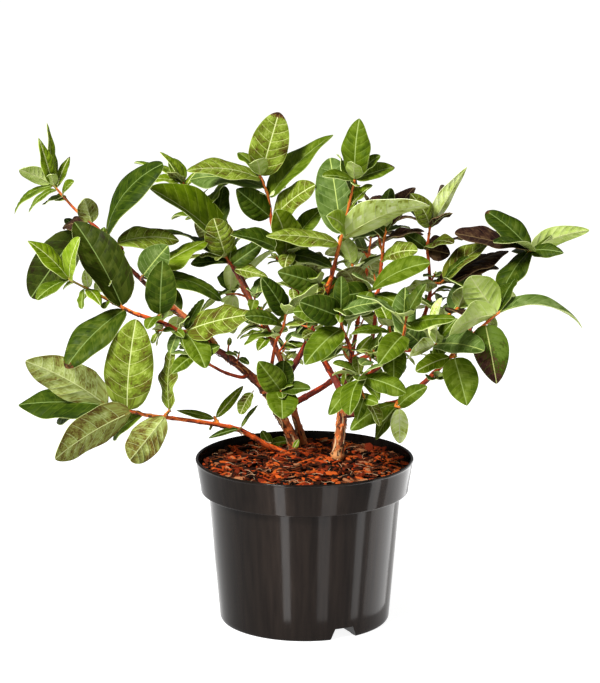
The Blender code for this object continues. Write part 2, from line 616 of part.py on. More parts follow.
def shoot_plan(limbs):
    """The twigs and leaves of each shoot, in millimetres: {name: (twigs, leaves)}."""
    crown = Crown(limbs)
    plan = {}
    for name, (limb, points, *_) in SHOOTS.items():
        tip_radius = limbs[limb][1][-1]
        path = grown_path(limbs[limb], points, tip_radius, TWIG_STEP)
        radii = tapered(path, tip_radius, TWIG_TIP_RADIUS)
        plan[name] = ([(path, radii)], [])
        crown.add_twig(name, path, radii)
    for index, (name, row) in enumerate(SHOOTS.items()):
        rng = random.Random(SEED * 1000 + index)
        plan[name][1].extend(aimed_leaves(crown, name, plan[name][0][0][0], row[-1], rng))
    for index, (name, (_, _, pairs, length, turn, side_twigs, _)) in enumerate(SHOOTS.items()):
        rng = random.Random(SEED * 2000 + index)
        twigs, leaves = plan[name]
        path = twigs[0][0]
        leaves.extend(pairs_on(crown, name, path, pairs, length, turn, rng))
        for k in range(side_twigs):
            twig = side_twig_path(path, k, side_twigs, turn, rng)
            if crown.twig_fits(name, twig, [TWIG_TIP_RADIUS] * len(twig)):
                twigs.append((twig, tapered(twig, TWIG_TIP_RADIUS * 1.2, TWIG_TIP_RADIUS * 0.8)))
                crown.add_twig(name, twig[1:], [TWIG_TIP_RADIUS] * 2)
                leaves.extend(pairs_on(crown, name, twig, SIDE_TWIG_PAIRS, length * SIDE_TWIG_SIZE,
                                       turn + 50 * k, rng))
    return plan


# Meshes

def mesh_object(name, spots, faces, collection):
    """A closed mesh object from points in millimetres."""
    mesh = bpy.data.meshes.new(name)
    mesh.from_pydata([tuple(p * MM) for p in spots], [], faces)
    form = bmesh.new()
    form.from_mesh(mesh)
    bmesh.ops.recalc_face_normals(form, faces=form.faces)
    form.to_mesh(mesh)
    form.free()
    obj = bpy.data.objects.new(name, mesh)
    collection.objects.link(obj)
    return obj


def curve_tube(name, path, radii, collection, section=None):
    """A tapering tube, as a bevelled curve made into a mesh with its caps welded."""
    curve = bpy.data.curves.new(name, "CURVE")
    curve.dimensions = "3D"
    curve.use_fill_caps = True
    if section is None:
        curve.bevel_depth = MM
        curve.bevel_resolution = LIMB_BEVEL_RESOLUTION
    else:
        curve.bevel_mode = "OBJECT"
        curve.bevel_object = section
    spline = curve.splines.new("POLY")
    spline.points.add(len(path) - 1)
    for spot, point, radius in zip(spline.points, path, radii):
        spot.co = (*(point * MM), 1.0)
        spot.radius = radius
    tube = bpy.data.objects.new(name + "_line", curve)
    collection.objects.link(tube)
    bpy.context.view_layer.update()
    mesh = bpy.data.meshes.new_from_object(tube.evaluated_get(bpy.context.evaluated_depsgraph_get()))
    form = bmesh.new()
    form.from_mesh(mesh)
    bmesh.ops.remove_doubles(form, verts=form.verts, dist=0.00002)
    bmesh.ops.recalc_face_normals(form, faces=form.faces)
    form.to_mesh(mesh)
    form.free()
    obj = bpy.data.objects.new(name, mesh)
    obj.matrix_world = tube.matrix_world
    collection.objects.link(obj)
    bpy.data.objects.remove(tube, do_unlink=True)
    return obj


def finish_round(obj, material, sharp=50.0):
    obj.data.materials.clear()
    obj.data.materials.append(material)
    obj.data.shade_smooth()
    obj.data.set_sharp_from_angle(angle=math.radians(sharp))


def apply_modifiers(obj):
    """Put the evaluated mesh in the place of the modifiers."""
    bpy.context.view_layer.update()
    mesh = bpy.data.meshes.new_from_object(obj.evaluated_get(bpy.context.evaluated_depsgraph_get()))
    obj.modifiers.clear()
    obj.data = mesh


def hide_cutter(obj):
    obj.hide_render = True
    obj.display_type = "WIRE"


# Pot

def wall_line(offset):
    """The inside of the pot from its floor to the lip, moved in by an offset: (radius, height)."""
    slope_top = POT_HEIGHT - BAND_HEIGHT
    inner = [(BASE_RADIUS - WALL - 1.2, FLOOR + offset), (BASE_RADIUS - WALL, FLOOR + 1.6 + offset),
             (BODY_TOP_RADIUS - WALL, slope_top - 1.0),
              (BODY_TOP_RADIUS - WALL + 0.4, slope_top + 0.6 + offset),
             (BAND_FOOT_RADIUS - WALL, slope_top + 2.0 + offset),
              (RIM_RADIUS - WALL - 0.4, POT_HEIGHT - 1.0)]
    return [(r - offset, z) for r, z in inner]


def turned(name, profile, collection):
    """A body turned round the Z axis from a profile of (radius, height) points."""
    mesh = bpy.data.meshes.new(name)
    spots = [(r * MM, 0.0, z * MM) for r, z in profile]
    mesh.from_pydata(spots, [(i, i + 1) for i in range(len(spots) - 1)], [])
    obj = bpy.data.objects.new(name, mesh)
    collection.objects.link(obj)
    screw = obj.modifiers.new("turn", "SCREW")
    screw.steps = POT_STEPS
    screw.render_steps = POT_STEPS
    screw.use_merge_vertices = True
    screw.merge_threshold = 0.00001
    return obj


def drain_block(name, grow, inner, outer, low, angle, collection):
    """A block with sloping sides, for a drain at the pot's foot, grown by a margin."""
    mesh = bpy.data.meshes.new(name)
    form = bmesh.new()
    bmesh.ops.create_cube(form, size=1.0)
    for vert in form.verts:
        z = DRAIN_HEIGHT + grow if vert.co.z > 0 else low
        narrowing = (DRAIN_FOOT_WIDTH - DRAIN_TOP_WIDTH) / 2 * z / DRAIN_HEIGHT
        width = DRAIN_FOOT_WIDTH / 2 - narrowing + grow
        x = outer if vert.co.x > 0 else inner
        vert.co = Vector((x, math.copysign(width, vert.co.y), z)) * MM
    form.to_mesh(mesh)
    form.free()
    obj = bpy.data.objects.new(name, mesh)
    obj.rotation_euler.z = math.radians(angle)
    collection.objects.link(obj)
    hide_cutter(obj)
    return obj


def boolean(obj, tool, operation):
    step = obj.modifiers.new(operation.lower(), "BOOLEAN")
    step.operation = operation
    step.object = tool
    step.solver = "EXACT"


def make_pot(collection, cutters, material):
    band_foot = POT_HEIGHT - BAND_HEIGHT
    outside = [(RIM_RADIUS - WALL + 0.2, POT_HEIGHT), (RIM_RADIUS - 0.5, POT_HEIGHT - 0.2),
               (RIM_RADIUS, POT_HEIGHT - EDGE_ROUND), (RIM_RADIUS - 0.3, POT_HEIGHT - 5.0),
               (BAND_FOOT_RADIUS, band_foot + EDGE_ROUND), (BAND_FOOT_RADIUS - EDGE_ROUND, band_foot),
               (BODY_TOP_RADIUS + EDGE_ROUND, band_foot - 0.4), (BODY_TOP_RADIUS, band_foot - 2.0),
               (BASE_RADIUS + 0.5, 3.0), (BASE_RADIUS - 0.3, 0.8), (BASE_RADIUS - EDGE_ROUND, 0.0),
                (0.0, 0.0)]
    profile = [(0.0, FLOOR)] + wall_line(0.0) + outside
    pot = turned("pot", profile, collection)
    for k in range(DRAINS):
        angle = FIRST_DRAIN_ANGLE + 360.0 / DRAINS * k
        housing = drain_block(f"drain_housing_{k}", WALL, DRAIN_INNER_RADIUS - WALL, BASE_RADIUS - 2.0, 1.0,
                              angle, cutters)
        opening = drain_block(f"drain_opening_{k}", 0.0, DRAIN_INNER_RADIUS, BASE_RADIUS + 12.0, -2.0,
                              angle, cutters)
        boolean(pot, housing, "UNION")
        boolean(pot, opening, "DIFFERENCE")
    apply_modifiers(pot)
    finish_round(pot, material, 35.0)
    return pot


def make_medium(collection, cutters, material):
    side = wall_line(GAP)
    lip = side.pop()
    knee = side[-1]
    edge_height = MEDIUM_TOP - MEDIUM_EDGE_DROP
    share = (edge_height - knee[1]) / (lip[1] - knee[1])
    edge = (knee[0] + (lip[0] - knee[0]) * share, edge_height)
    profile = [(0.0, MEDIUM_TOP), (MEDIUM_FLAT_RADIUS, MEDIUM_TOP), edge] + side[::-1] + [(0.0, side[0][1])]
    medium = turned("growing_medium", profile, collection)
    for k in range(DRAINS):
        angle = FIRST_DRAIN_ANGLE + 360.0 / DRAINS * k
        room = drain_block(f"drain_room_{k}", WALL + GAP, DRAIN_INNER_RADIUS - WALL - GAP,
                           BASE_RADIUS + 5.0, -1.0, angle, cutters)
        boolean(medium, room, "DIFFERENCE")
    apply_modifiers(medium)
    finish_round(medium, material, 35.0)
    return medium


# Plant

def make_limbs(plan, collection, cutters, material):
    """One tapering solid for each stem and bough; basal stems are cut flat at ground level."""
    depth = 60.0
    bpy.ops.mesh.primitive_cube_add(size=1.0, location=(0, 0, (MEDIUM_TOP + GAP - depth / 2) * MM))
    ground = bpy.context.object
    ground.name = "ground_block"
    ground.scale = Vector((POT_HEIGHT * 2, POT_HEIGHT * 2, depth)) * MM
    for owner in list(ground.users_collection):
        owner.objects.unlink(ground)
    cutters.objects.link(ground)
    hide_cutter(ground)
    for name, (path, radii) in plan.items():
        rooted = LIMBS[name][0] is None
        if rooted:
            below = path[0] - (path[1] - path[0]).normalized() * STEM_BURIED
            path = [below] + path
            radii = [radii[0]] + radii
        limb = curve_tube(name, path, radii, collection)
        if rooted:
            boolean(limb, ground, "DIFFERENCE")
            apply_modifiers(limb)
        finish_round(limb, material)


def is_one_body(mesh):
    """True if every edge has two faces and all faces hang together."""
    form = bmesh.new()
    form.from_mesh(mesh)
    closed = bool(form.verts) and all(edge.is_manifold for edge in form.edges)
    seen = set()
    stack = [form.verts[:][0]] if closed else []
    while stack:
        vert = stack.pop()
        if vert in seen:
            continue
        seen.add(vert)
        stack.extend(edge.other_vert(vert) for edge in vert.link_edges)
    whole = closed and len(seen) == len(form.verts)
    form.free()
    return whole


def drop_scraps(mesh):
    """Keep only the largest connected piece of a mesh."""
    form = bmesh.new()
    form.from_mesh(mesh)
    left = set(form.verts)
    groups = []
    while left:
        stack = [left.pop()]
        group = set(stack)
        while stack:
            for edge in stack.pop().link_edges:
                for vert in edge.verts:
                    if vert not in group:
                        group.add(vert)
                        stack.append(vert)
        left -= group
        groups.append(group)
    groups.sort(key=len)
    for group in groups[:-1]:
        bmesh.ops.delete(form, geom=list(group), context="VERTS")
    form.to_mesh(mesh)
    form.free()


def make_shoot(name, twigs, leaves, section, collection, material):
    """One leafy shoot: its twigs and leaves are joined into a single solid."""
    group = bpy.data.collections.new(name + "_pieces")
    bpy.context.scene.collection.children.link(group)
    path, radii = twigs[0]
    stem = curve_tube(name, path, radii, collection, section)
    for index, (side_path, side_radii) in enumerate(twigs[1:]):
        curve_tube(f"{name}_twig_{index}", side_path, side_radii, group, section)
    for index, leaf in enumerate(leaves):
        mesh_object(f"{name}_leaf_{index}", *leaf_solid(leaf), group)
    bare = stem.data
    for solver in ("EXACT", "MANIFOLD"):
        stem.data = bare
        join = stem.modifiers.new("join", "BOOLEAN")
        join.operation = "UNION"
        join.operand_type = "COLLECTION"
        join.collection = group
        join.solver = solver
        apply_modifiers(stem)
        drop_scraps(stem.data)
        if is_one_body(stem.data):
            break
    for piece in list(group.objects):
        bpy.data.objects.remove(piece, do_unlink=True)
    bpy.data.collections.remove(group)
    finish_round(stem, material, 25.0)
    return stem


def triangle_section(cutters):
    """The three-sided section that every twig's curve is bevelled with."""
    curve = bpy.data.curves.new("twig_section", "CURVE")
    spline = curve.splines.new("POLY")
    spline.points.add(2)
    for k, spot in enumerate(spline.points):
        angle = math.radians(120 * k + 90)
        spot.co = (math.cos(angle) * MM, math.sin(angle) * MM, 0.0, 1.0)
    spline.use_cyclic_u = True
    section = bpy.data.objects.new("twig_section", curve)
    cutters.objects.link(section)
    hide_cutter(section)
    return section


def main():
    clear_scene()
    parts = new_collection("potted_honeyberry")
    cutters = new_collection("cutters")
    make_pot(parts, cutters, new_material("pot_plastic", POT_BLACK, 0.32))
    make_medium(parts, cutters, new_material("bark_mulch", MEDIUM_BROWN, 0.9))
    limbs = limb_plan()
    make_limbs(limbs, parts, cutters, new_material("bark", BARK_BROWN, 0.7))
    leaf_material = new_material("leaf", LEAF_GREEN, 0.5)
    section = triangle_section(cutters)
    for name, (twigs, leaves) in shoot_plan(limbs).items():
        make_shoot(name, twigs, leaves, section, parts, leaf_material)


main()
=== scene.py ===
"""Potted honeyberry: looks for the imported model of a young, leafy shrub in its nursery pot.

The limbs, shoots and leaves are planned by the source's own rule, with the same seeds, and are
then carried on to finer twigs, buds and leaves. Lengths are in millimetres until a piece is made,
except in the studio, which is in metres.
"""
import math
import random

import bmesh
import bpy
import numpy as np
from mathutils import Matrix, Vector, noise
from mathutils.bvhtree import BVHTree


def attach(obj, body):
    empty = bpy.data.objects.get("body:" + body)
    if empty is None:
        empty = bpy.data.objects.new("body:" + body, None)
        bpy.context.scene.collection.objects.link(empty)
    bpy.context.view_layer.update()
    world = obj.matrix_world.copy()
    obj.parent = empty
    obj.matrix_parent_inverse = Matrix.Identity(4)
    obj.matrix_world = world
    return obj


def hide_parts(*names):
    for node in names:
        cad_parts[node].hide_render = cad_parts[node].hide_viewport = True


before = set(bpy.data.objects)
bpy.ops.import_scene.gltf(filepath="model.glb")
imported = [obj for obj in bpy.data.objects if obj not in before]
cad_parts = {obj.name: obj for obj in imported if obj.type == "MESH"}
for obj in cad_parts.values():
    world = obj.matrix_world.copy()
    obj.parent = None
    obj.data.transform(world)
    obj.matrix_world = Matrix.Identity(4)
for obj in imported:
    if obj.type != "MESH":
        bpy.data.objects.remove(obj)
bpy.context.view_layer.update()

MM = 0.001
GAP = 0.3               # clearance between pieces that touch
SEED = 11

# Pot
POT_HEIGHT = 144.0
RIM_RADIUS = 95.0
BAND_HEIGHT = 29.0      # the stiff band under the rim
BAND_FOOT_RADIUS = 90.3
BODY_TOP_RADIUS = 83.4
BASE_RADIUS = 74.0
WALL = 1.6
FLOOR = 2.0
POT_STEPS = 176
DRAINS = 3
FIRST_DRAIN_ANGLE = -63.0
DRAIN_FOOT_WIDTH = 25.0
DRAIN_TOP_WIDTH = 17.0
DRAIN_HEIGHT = 10.0
DRAIN_INNER_RADIUS = 40.0

# Growing medium
MEDIUM_TOP = 137.0
MEDIUM_EDGE_DROP = 2.5

# Limbs
LIMB_STEP = 17.0
FLARE = 0.2             # extra share of a basal stem's radius where it leaves the ground
FLARE_REACH = 9.0
TIP_FRACTION = 0.97     # a limb that starts beyond this share of its parent grows on from its tip
TIP_LEAD = 4.0          # straight run of such a limb before its first bend
START_STEP = 0.1        # step of the search for a limb's first clear point

# Twigs
TWIG_STEP = 14.0
TWIG_TIP_RADIUS = 0.9
SIDE_TWIG_ANGLE = 50.0  # degrees between a side twig and its shoot
SIDE_TWIG_LENGTH = 30.0
SIDE_TWIG_ARCH = 1.5
SIDE_TWIG_TURN = 137.0  # degrees round the shoot from one side twig to the next
SIDE_TWIG_FIRST = 0.25  # share of the shoot below its first side twig
SIDE_TWIG_SPAN = 0.5    # share of the shoot that its side twigs spread over

# Leaves
LEAF_BEND = 38.0        # degrees that a leaf curves back over its length
LEAF_FOLD = 13.0        # degrees that each half is raised from the midrib
LEAF_THICKNESS = 1.1
LEAF_WIDTH = 0.46       # of its length
LEAF_LOWER = 0.88       # below 1 moves a leaf's widest place down from its middle
LEAF_FULLNESS = 0.72    # below 1 makes a leaf's oval fuller at both ends
LEAF_SECTIONS = (0.29, 0.68)
SMALL_LEAF = 32.0       # a leaf shorter than this has one section, at its widest
SMALL_SECTIONS = (0.46,)
SECTION_SWELL = 1.1     # makes up for the straight edges between sections
LEAF_LIGHT = 1.6        # how strongly a leaf turns its upper face to the sky
LEAF_ROLL = 0.45        # radians that a leaf may roll about its midrib
ROOT_SINK = 1.0         # depth of a leaf's root past the middle of its twig
TIP_SEAT = 2.2          # the last leaves are rooted this far below a twig's tip
SEAT_SPREAD = 0.8
LOWEST_LEAF = 150.0

# Pairs of leaves
PAIR_SPAN = 0.8         # share of a twig, from its tip, that its pairs spread over
PAIR_TURN = 90.0        # degrees round the twig from one pair to the next
PAIR_SCATTER = 14.0
TIP_SPREAD = 28.0       # degrees between the last pair and the twig
LOW_SPREAD = 42.0       # degrees more at the twig's foot
TIP_SIZE = 0.72         # the last pair's size beside the others
SIDE_TWIG_PAIRS = 2
SIDE_TWIG_SIZE = 0.85

# Where the leaves are tried
VIEW_SIDE = Vector((0.0, -0.96, 0.29))  # from the plant towards its viewer
EYE = Vector((-4.0, -2038.0, 677.0))    # the viewer: an aimed tip moves along the line from here
AIM_SHIFTS = (0, 10, -10, 20, -20, 30, -30)
TEST_MARGIN = 1.0       # clearance round limbs, twigs and leaves
TRIM = 0.22             # share of a leaf by its root that may meet leaves of its own shoot
LEAF_REACH = 0.6        # share of its length that a leaf reaches from its middle
TRIES = ((0, 0, 1.0), (25, 8, 1.0), (-25, -8, 1.0), (50, 15, 0.9), (-50, -10, 0.9), (0, 25, 0.75),
         (80, 0, 0.7))  # extra turn and extra spread in degrees, and size


# Each limb: the limb it grows from, its radius at the foot and at the tip, its line of bends.
LIMBS = {
    "stem_left": (None, 4.7, 4.2, [(-8, 52, 137), (-13, 47, 154), (-21, 38, 171), (-30, 29, 190),
                                   (-36, 25, 199)]),
    "stem_back": (None, 3.6, 1.5, [(-1, 66, 137), (-10, 63, 172), (-17, 62, 204), (-30, 60, 239),
                                   (-59, 58, 293)]),
    "stem_right": (None, 4.7, 4.0, [(28, 8, 137), (31, 6, 161), (33, 0, 187), (35, -4, 203)]),
    "stem_low": (None, 2.4, 1.6, [(-16, 36, 137), (-35, 28, 148), (-57, 20, 163), (-91, 4, 174),
                                  (-134, -9, 183)]),
    "bough_mid_left": ("stem_left", 3.8, 1.7,
                       [(-52, 20, 216), (-69, 12, 232), (-102, 3, 251), (-123, -4, 264), (-143, -9, 272)]),
    "bough_upper_left": ("bough_mid_left", 2.5, 1.5,
                         [(-72, 11, 234), (-86, 20, 249), (-136, 30, 289), (-161, 36, 314),
                          (-178, 38, 336)]),
    "bough_left_inner": ("bough_mid_left", 1.7, 1.2, [(-48, 20, 212), (-55, 4, 214), (-69, -4, 220),
                                                      (-83, -10, 229)]),
    "bough_centre": ("stem_left", 2.2, 1.4, [(-30, 30, 188), (-29, 14, 204), (-28, 0, 228),
                                             (-25, -10, 246)]),
    "bough_top": ("stem_back", 2.8, 1.6, [(-16, 62, 200), (-3, 52, 225), (9, 42, 252), (21, 30, 288),
                                          (28, 20, 319)]),
    "bough_top_left": ("stem_right", 2.9, 1.6,
                       [(34, -2, 196), (27, 16, 208), (14, 46, 226), (-1, 70, 262), (-15, 66, 296),
                        (-28, 54, 339)]),
    "bough_cross": ("stem_back", 2.8, 1.6,
                    [(-11, 63, 176), (16, 52, 194), (36, 36, 213), (55, 22, 229), (74, 12, 236),
                     (95, 2, 238)]),
    "bough_front": ("stem_right", 2.4, 1.5, [(41, -18, 232), (38, -34, 250), (33, -44, 263)]),
    "bough_low_front": ("stem_right", 2.2, 1.5, [(34, -2, 190), (40, -26, 204), (45, -50, 218)]),
    "bough_front_right": ("stem_right", 2.4, 1.5, [(35, -3, 198), (50, -22, 218), (64, -48, 236),
                                                   (76, -66, 254)]),
    "bough_right_low": ("stem_right", 3.0, 1.6,
                        [(32, 3, 180), (63, -8, 190), (84, -14, 198), (103, -16, 214), (141, -20, 254)]),
    "bough_right_far": ("bough_right_low", 1.9, 1.4, [(134, -19, 246), (146, -4, 266), (158, 6, 278),
                                                      (176, 20, 297)]),
    "bough_centre_right": ("bough_cross", 2.0, 1.4, [(55, 22, 229), (60, 32, 246), (64, 36, 280),
                                                     (67, 36, 308)]),
    "bough_right_mid": ("bough_cross", 2.1, 1.4,
                        [(82, 8, 237), (90, 24, 248), (102, 36, 256), (110, 44, 280), (108, 50, 316)]),
    "bough_back_right": ("bough_cross", 2.0, 1.4, [(40, 33, 216), (44, 60, 232), (50, 90, 258),
                                                   (56, 112, 286)]),
    "bough_back_left": ("stem_back", 1.9, 1.4, [(-16, 62, 202), (-26, 84, 222), (-44, 108, 250)]),
}

# Each leafy shoot: its limb, a letter for the shade of each leaf that shapes the outline, its line
# of bends, pairs of leaves, leaf length, turn of the first pair in degrees, side twigs, and those
# leaves: how far along the shoot, the tip, the width seen from the front, which is negative where
# the underside shows, and, on some leaves, their own bend in degrees and, on narrow ones, their
# width as a share of their length.
SHOOTS = {
    "upper_left_tip": (
        "bough_upper_left", "BBMBbMmMMOV", [(-200, 40, 356), (-221, 42, 380)], 0, 34, 20, 0,
        [(0.97, (-223, 48, 430), 5, 8, 0.2), (0.95, (-229, 32, 419), 11, 14, 0.26),
         (0.93, (-220, 58, 408), 7, 14, 0.24), (1.0, (-245, 22, 393), -15),
         (0.86, (-205, 60, 399), 8, 20, 0.24), (0.85, (-238, 22, 356), 7, 75, 0.22),
         (0.9, (-254, 52, 350), 7, 75, 0.22), (0.72, (-199, 25, 382), 9),
         (0.7, (-229, 60, 357), 7), (0.15, (-190, 20, 368), -18), (0.2, (-213, 60, 336), 9)]),
    "far_left": (
        "bough_upper_left", "K", [(-176, 50, 325), (-201, 62, 333)], 1, 46, 70, 0,
        [(1.0, (-242, 62, 273), 36, 30)]),
    "mid_left_tip": (
        "bough_mid_left", "KdBYMMBPP", [(-176, -17, 291), (-201, -24, 306)], 0, 40, 0, 0,
        [(0.2, (-197, 6, 350), 31, 24), (0.16, (-202, -45, 233), 26), (1.0, (-233, -32, 340), 14),
         (1.0, (-190, -28, 342), 17), (0.97, (-226, -40, 291), 9), (0.75, (-189, -30, 281), 5),
         (0.72, (-172, -38, 286), 8), (0.7, (-185, -34, 316), 9), (0.62, (-164, -35, 309), 12)]),
    "left_node": (
        "bough_mid_left", "DM", [(-123, -16, 273)], 0, 40, 0, 0,
        [(1.0, (-120, -28, 322), 26), (0.8, (-133, -40, 266), 9)]),
    "left_mid": (
        "bough_mid_left", "ODM", [(-101, -10, 258)], 0, 50, 0, 0,
        [(1.0, (-41, -30, 277), 28), (0.8, (-88, 10, 282), 10), (0.6, (-84, -40, 232), 17)]),
    "upper_left_mid": (
        "bough_upper_left", "DO", [(-158, 24, 324), (-173, 20, 336)], 0, 60, 0, 0,
        [(1.0, (-121, 8, 400), 19, 60), (0.6, (-109, 40, 328), 18, 44)]),
    "left_high": (
        "bough_upper_left", "GBD", [(-140, 16, 301)], 0, 40, 0, 0,
        [(1.0, (-117, 2, 330), 26), (0.9, (-85, 42, 328), 25, 14), (0.3, (-72, 26, 278), 12, 60)]),
    "low_left_tip": (
        "stem_low", "OODDOM", [(-153, -14, 189), (-172, -18, 195)], 0, 60, 0, 0,
        [(0.5, (-143, -30, 272), 40), (1.0, (-235, -52, 241), -29), (1.0, (-249, 6, 189), 32, 25),
         (0.9, (-216, 34, 170), 22), (0.4, (-211, -64, 159), -26), (0.1, (-168, 14, 156), 10)]),
    "low_left_mid": (
        "stem_low", "OO", [(-116, -18, 190)], 0, 50, 0, 0,
        [(0.15, (-149, -46, 153), -28), (1.0, (-114, -12, 243), 14)]),
    "low_left_inner": (
        "stem_low", "MB", [(-79, 22, 174)], 0, 30, 0, 0,
        [(0.9, (-112, 10, 183), 6, 14, 0.2), (1.0, (-54, 36, 199), 9, 16, 0.22)]),
    "centre": (
        "bough_centre", "DMM", [(-18, -18, 264), (-16, -22, 276)], 2, 40, 60, 1,
        [(1.0, (-36, -36, 309), 19), (1.0, (11, -30, 303), -10), (0.3, (-51, -40, 252), 8)]),
    "left_inner": (
        "bough_left_inner", "MM", [(-96, -16, 240)], 1, 32, 0, 0,
        [(1.0, (-113, -34, 226), 12), (0.6, (-72, -34, 250), 11)]),
    "knot": (
        "stem_left", "MDMD", [(-22, 22, 186), (-20, 2, 203)], 1, 24, 30, 0,
        [(1.0, (-19, -24, 184), 27, 30), (1.0, (5, -14, 208), 10), (1.0, (-40, 8, 227), 22, 30),
         (0.9, (-18, 12, 227), 20, 30)]),
    "back_tip": (
        "stem_back", "ODDO", [(-70, 56, 312)], 2, 42, 45, 0,
        [(1.0, (-79, 42, 347), 26), (0.5, (-37, 62, 322), 16, 20), (0.9, (-126, 96, 329), 12, 25),
         (0.35, (-32, 48, 294), 13)]),
    "high_left": (
        "stem_back", "BDBBB", [(-48, 74, 274), (-78, 84, 330), (-109, 90, 373)], 3, 46, 20, 1,
        [(0.45, (-135, 48, 373), 30), (0.55, (-71, 74, 371), 17), (1.0, (-128, 92, 399), 7),
         (1.0, (-139, 80, 376), 9), (0.95, (-150, 100, 388), 8)]),
    "top_left": (
        "bough_top_left", "oMOGMDO", [(-32, 50, 366), (-39, 46, 385)], 1, 46, 80, 0,
        [(1.0, (-22, 40, 440), 32, 20), (0.5, (25, 62, 418), 24, 30),
         (0.9, (-101, 22, 392), 21, 44), (0.7, (-101, 80, 376), 16), (1.0, (-58, 66, 402), 9),
         (0.15, (-59, 34, 374), 24), (0.1, (9, 26, 379), 18)]),
    "top_left_low": (
        "bough_top_left", "BDDM", [(-13, 42, 312), (-12, 34, 318)], 1, 44, 0, 0,
        [(0.3, (-25, 10, 359), 22), (0.45, (-64, 30, 335), 18), (1.0, (23, 16, 309), 15),
         (0.35, (16, 44, 357), 17)]),
    "top": (
        "bough_top", "MmMMGBPOY", [(36, 8, 355), (43, 0, 389)], 1, 44, 15, 1,
        [(1.0, (46, -6, 440), 21, 24), (1.0, (77, 15, 396), 17), (0.95, (15, -16, 393), 9),
         (0.8, (28, 30, 405), 13), (0.25, (22, 44, 400), 34), (0.6, (57, -16, 385), 11),
         (0.2, (104, -22, 369), -21), (0.15, (-33, 0, 339), 18), (0.3, (19, -26, 360), 17)]),
    "centre_high": (
        "bough_top", "D", [(18, 10, 292), (12, 2, 297)], 1, 42, 40, 0,
        [(1.0, (-23, -8, 309), 21)]),
    "front_centre": (
        "bough_front", "DMG", [(30, -54, 278), (30, -60, 286)], 2, 44, 45, 1,
        [(0.7, (-4, -76, 296), 24), (0.2, (0, -80, 244), 22), (1.0, (69, -66, 294), 15)]),
    "low_front": (
        "bough_low_front", "MMM", [(46, -62, 227), (48, -70, 232)], 2, 36, 0, 1,
        [(0.5, (20, -88, 203), 17), (0.7, (37, -96, 205), 17), (1.0, (84, -80, 220), 15)]),
    "low_right": (
        "bough_right_low", "MMMP", [(78, -28, 196), (82, -34, 196)], 0, 34, 50, 0,
        [(0.8, (104, -40, 216), 13), (0.2, (39, -36, 177), 13), (0.7, (60, -50, 172), 14),
         (1.0, (81, -44, 167), 15)]),
    "right_low_tip": (
        "bough_right_low", "GWGGD", [(155, -24, 268), (166, -26, 278)], 0, 50, 30, 0,
        [(1.0, (237, -20, 263), 12, 90, 0.28), (0.5, (162, -52, 221), 30),
         (0.9, (120, -64, 265), -17), (0.9, (139, -44, 312), -30), (1.0, (180, -2, 302), 11)]),
    "right_low_mid": (
        "bough_right_low", "MB", [(124, -34, 240), (128, -40, 242)], 0, 42, 80, 0,
        [(0.9, (137, -56, 203), 29), (0.5, (94, -44, 230), 13)]),
    "right_mid": (
        "bough_cross", "PPGGM", [(114, -12, 247)], 1, 40, 10, 0,
        [(1.0, (88, -36, 240), -12), (1.0, (117, -6, 286), 7), (0.5, (80, -28, 266), 18),
         (1.0, (152, -34, 246), 22), (0.9, (130, -20, 271), 12)]),
    "right_far": (
        "bough_right_far", "dVDDMDD", [(197, 30, 323)], 0, 50, 0, 0,
        [(1.0, (159, 52, 352), 21), (1.0, (129, 12, 339), 13, 4), (0.9, (162, 2, 333), 9),
         (0.95, (165, -8, 281), 19), (1.0, (248, 42, 337), -17, 85, 0.3),
         (1.0, (223, 12, 322), 13), (0.8, (223, 78, 317), 9)]),
    "right_tip": (
        "bough_right_mid", "PVOVVDO", [(110, 52, 339)], 1, 40, 90, 0,
        [(1.0, (142, 60, 390), -13, 10, 0.28), (0.9, (123, 80, 367), 10), (1.0, (92, 34, 370), 17),
         (0.04, (127, 40, 316), 17), (0.04, (140, 80, 322), 12), (0.06, (87, 60, 331), 12),
         (0.06, (128, 16, 330), 11, 60)]),
    "right_high": (
        "bough_right_mid", "OVPV", [(118, 30, 292), (122, 26, 296)], 1, 46, 60, 0,
        [(1.0, (170, 26, 334), 19), (0.6, (170, 46, 303), 16), (0.5, (86, 14, 287), 12),
         (0.8, (180, 64, 315), 19, 30)]),
    "centre_right": (
        "bough_centre_right", "VDO", [(69, 34, 328), (72, 36, 342)], 2, 44, 20, 1,
        [(1.0, (96, 52, 373), 17), (0.8, (75, 68, 370), 15), (0.05, (97, 12, 324), 12)]),
    "centre_right_mid": (
        "bough_centre_right", "DM", [(60, 16, 284), (56, 8, 290)], 2, 44, 45, 0,
        [(1.0, (20, -10, 286), 21), (0.9, (107, -2, 316), 14)]),
    "front_right": (
        "bough_front_right", "", [(82, -80, 270), (84, -88, 288)], 3, 46, 20, 1, []),
    "centre_cross": (
        "bough_cross", "M", [(76, -6, 246), (72, -14, 264)], 3, 42, 30, 0,
        [(0.4, (76, -28, 215), 21)]),
    "right_inner": (
        "bough_right_mid", "", [(118, 26, 260), (134, 14, 274)], 3, 48, 60, 1, []),
    "right_back": (
        "bough_right_far", "", [(146, 28, 280), (138, 50, 300)], 3, 50, 10, 1, []),
    "centre_back": (
        "bough_centre_right", "", [(48, 54, 276), (42, 68, 304)], 3, 50, 50, 1, []),
    "back_mid": (
        "bough_back_right", "", [(20, 94, 258), (-2, 106, 290)], 3, 52, 0, 2, []),
    "back_right": (
        "bough_back_right", "", [(60, 130, 310), (62, 142, 336)], 4, 54, 10, 3, []),
    "back_left": (
        "bough_back_left", "", [(-62, 128, 278), (-78, 142, 306)], 4, 54, 40, 3, []),
}


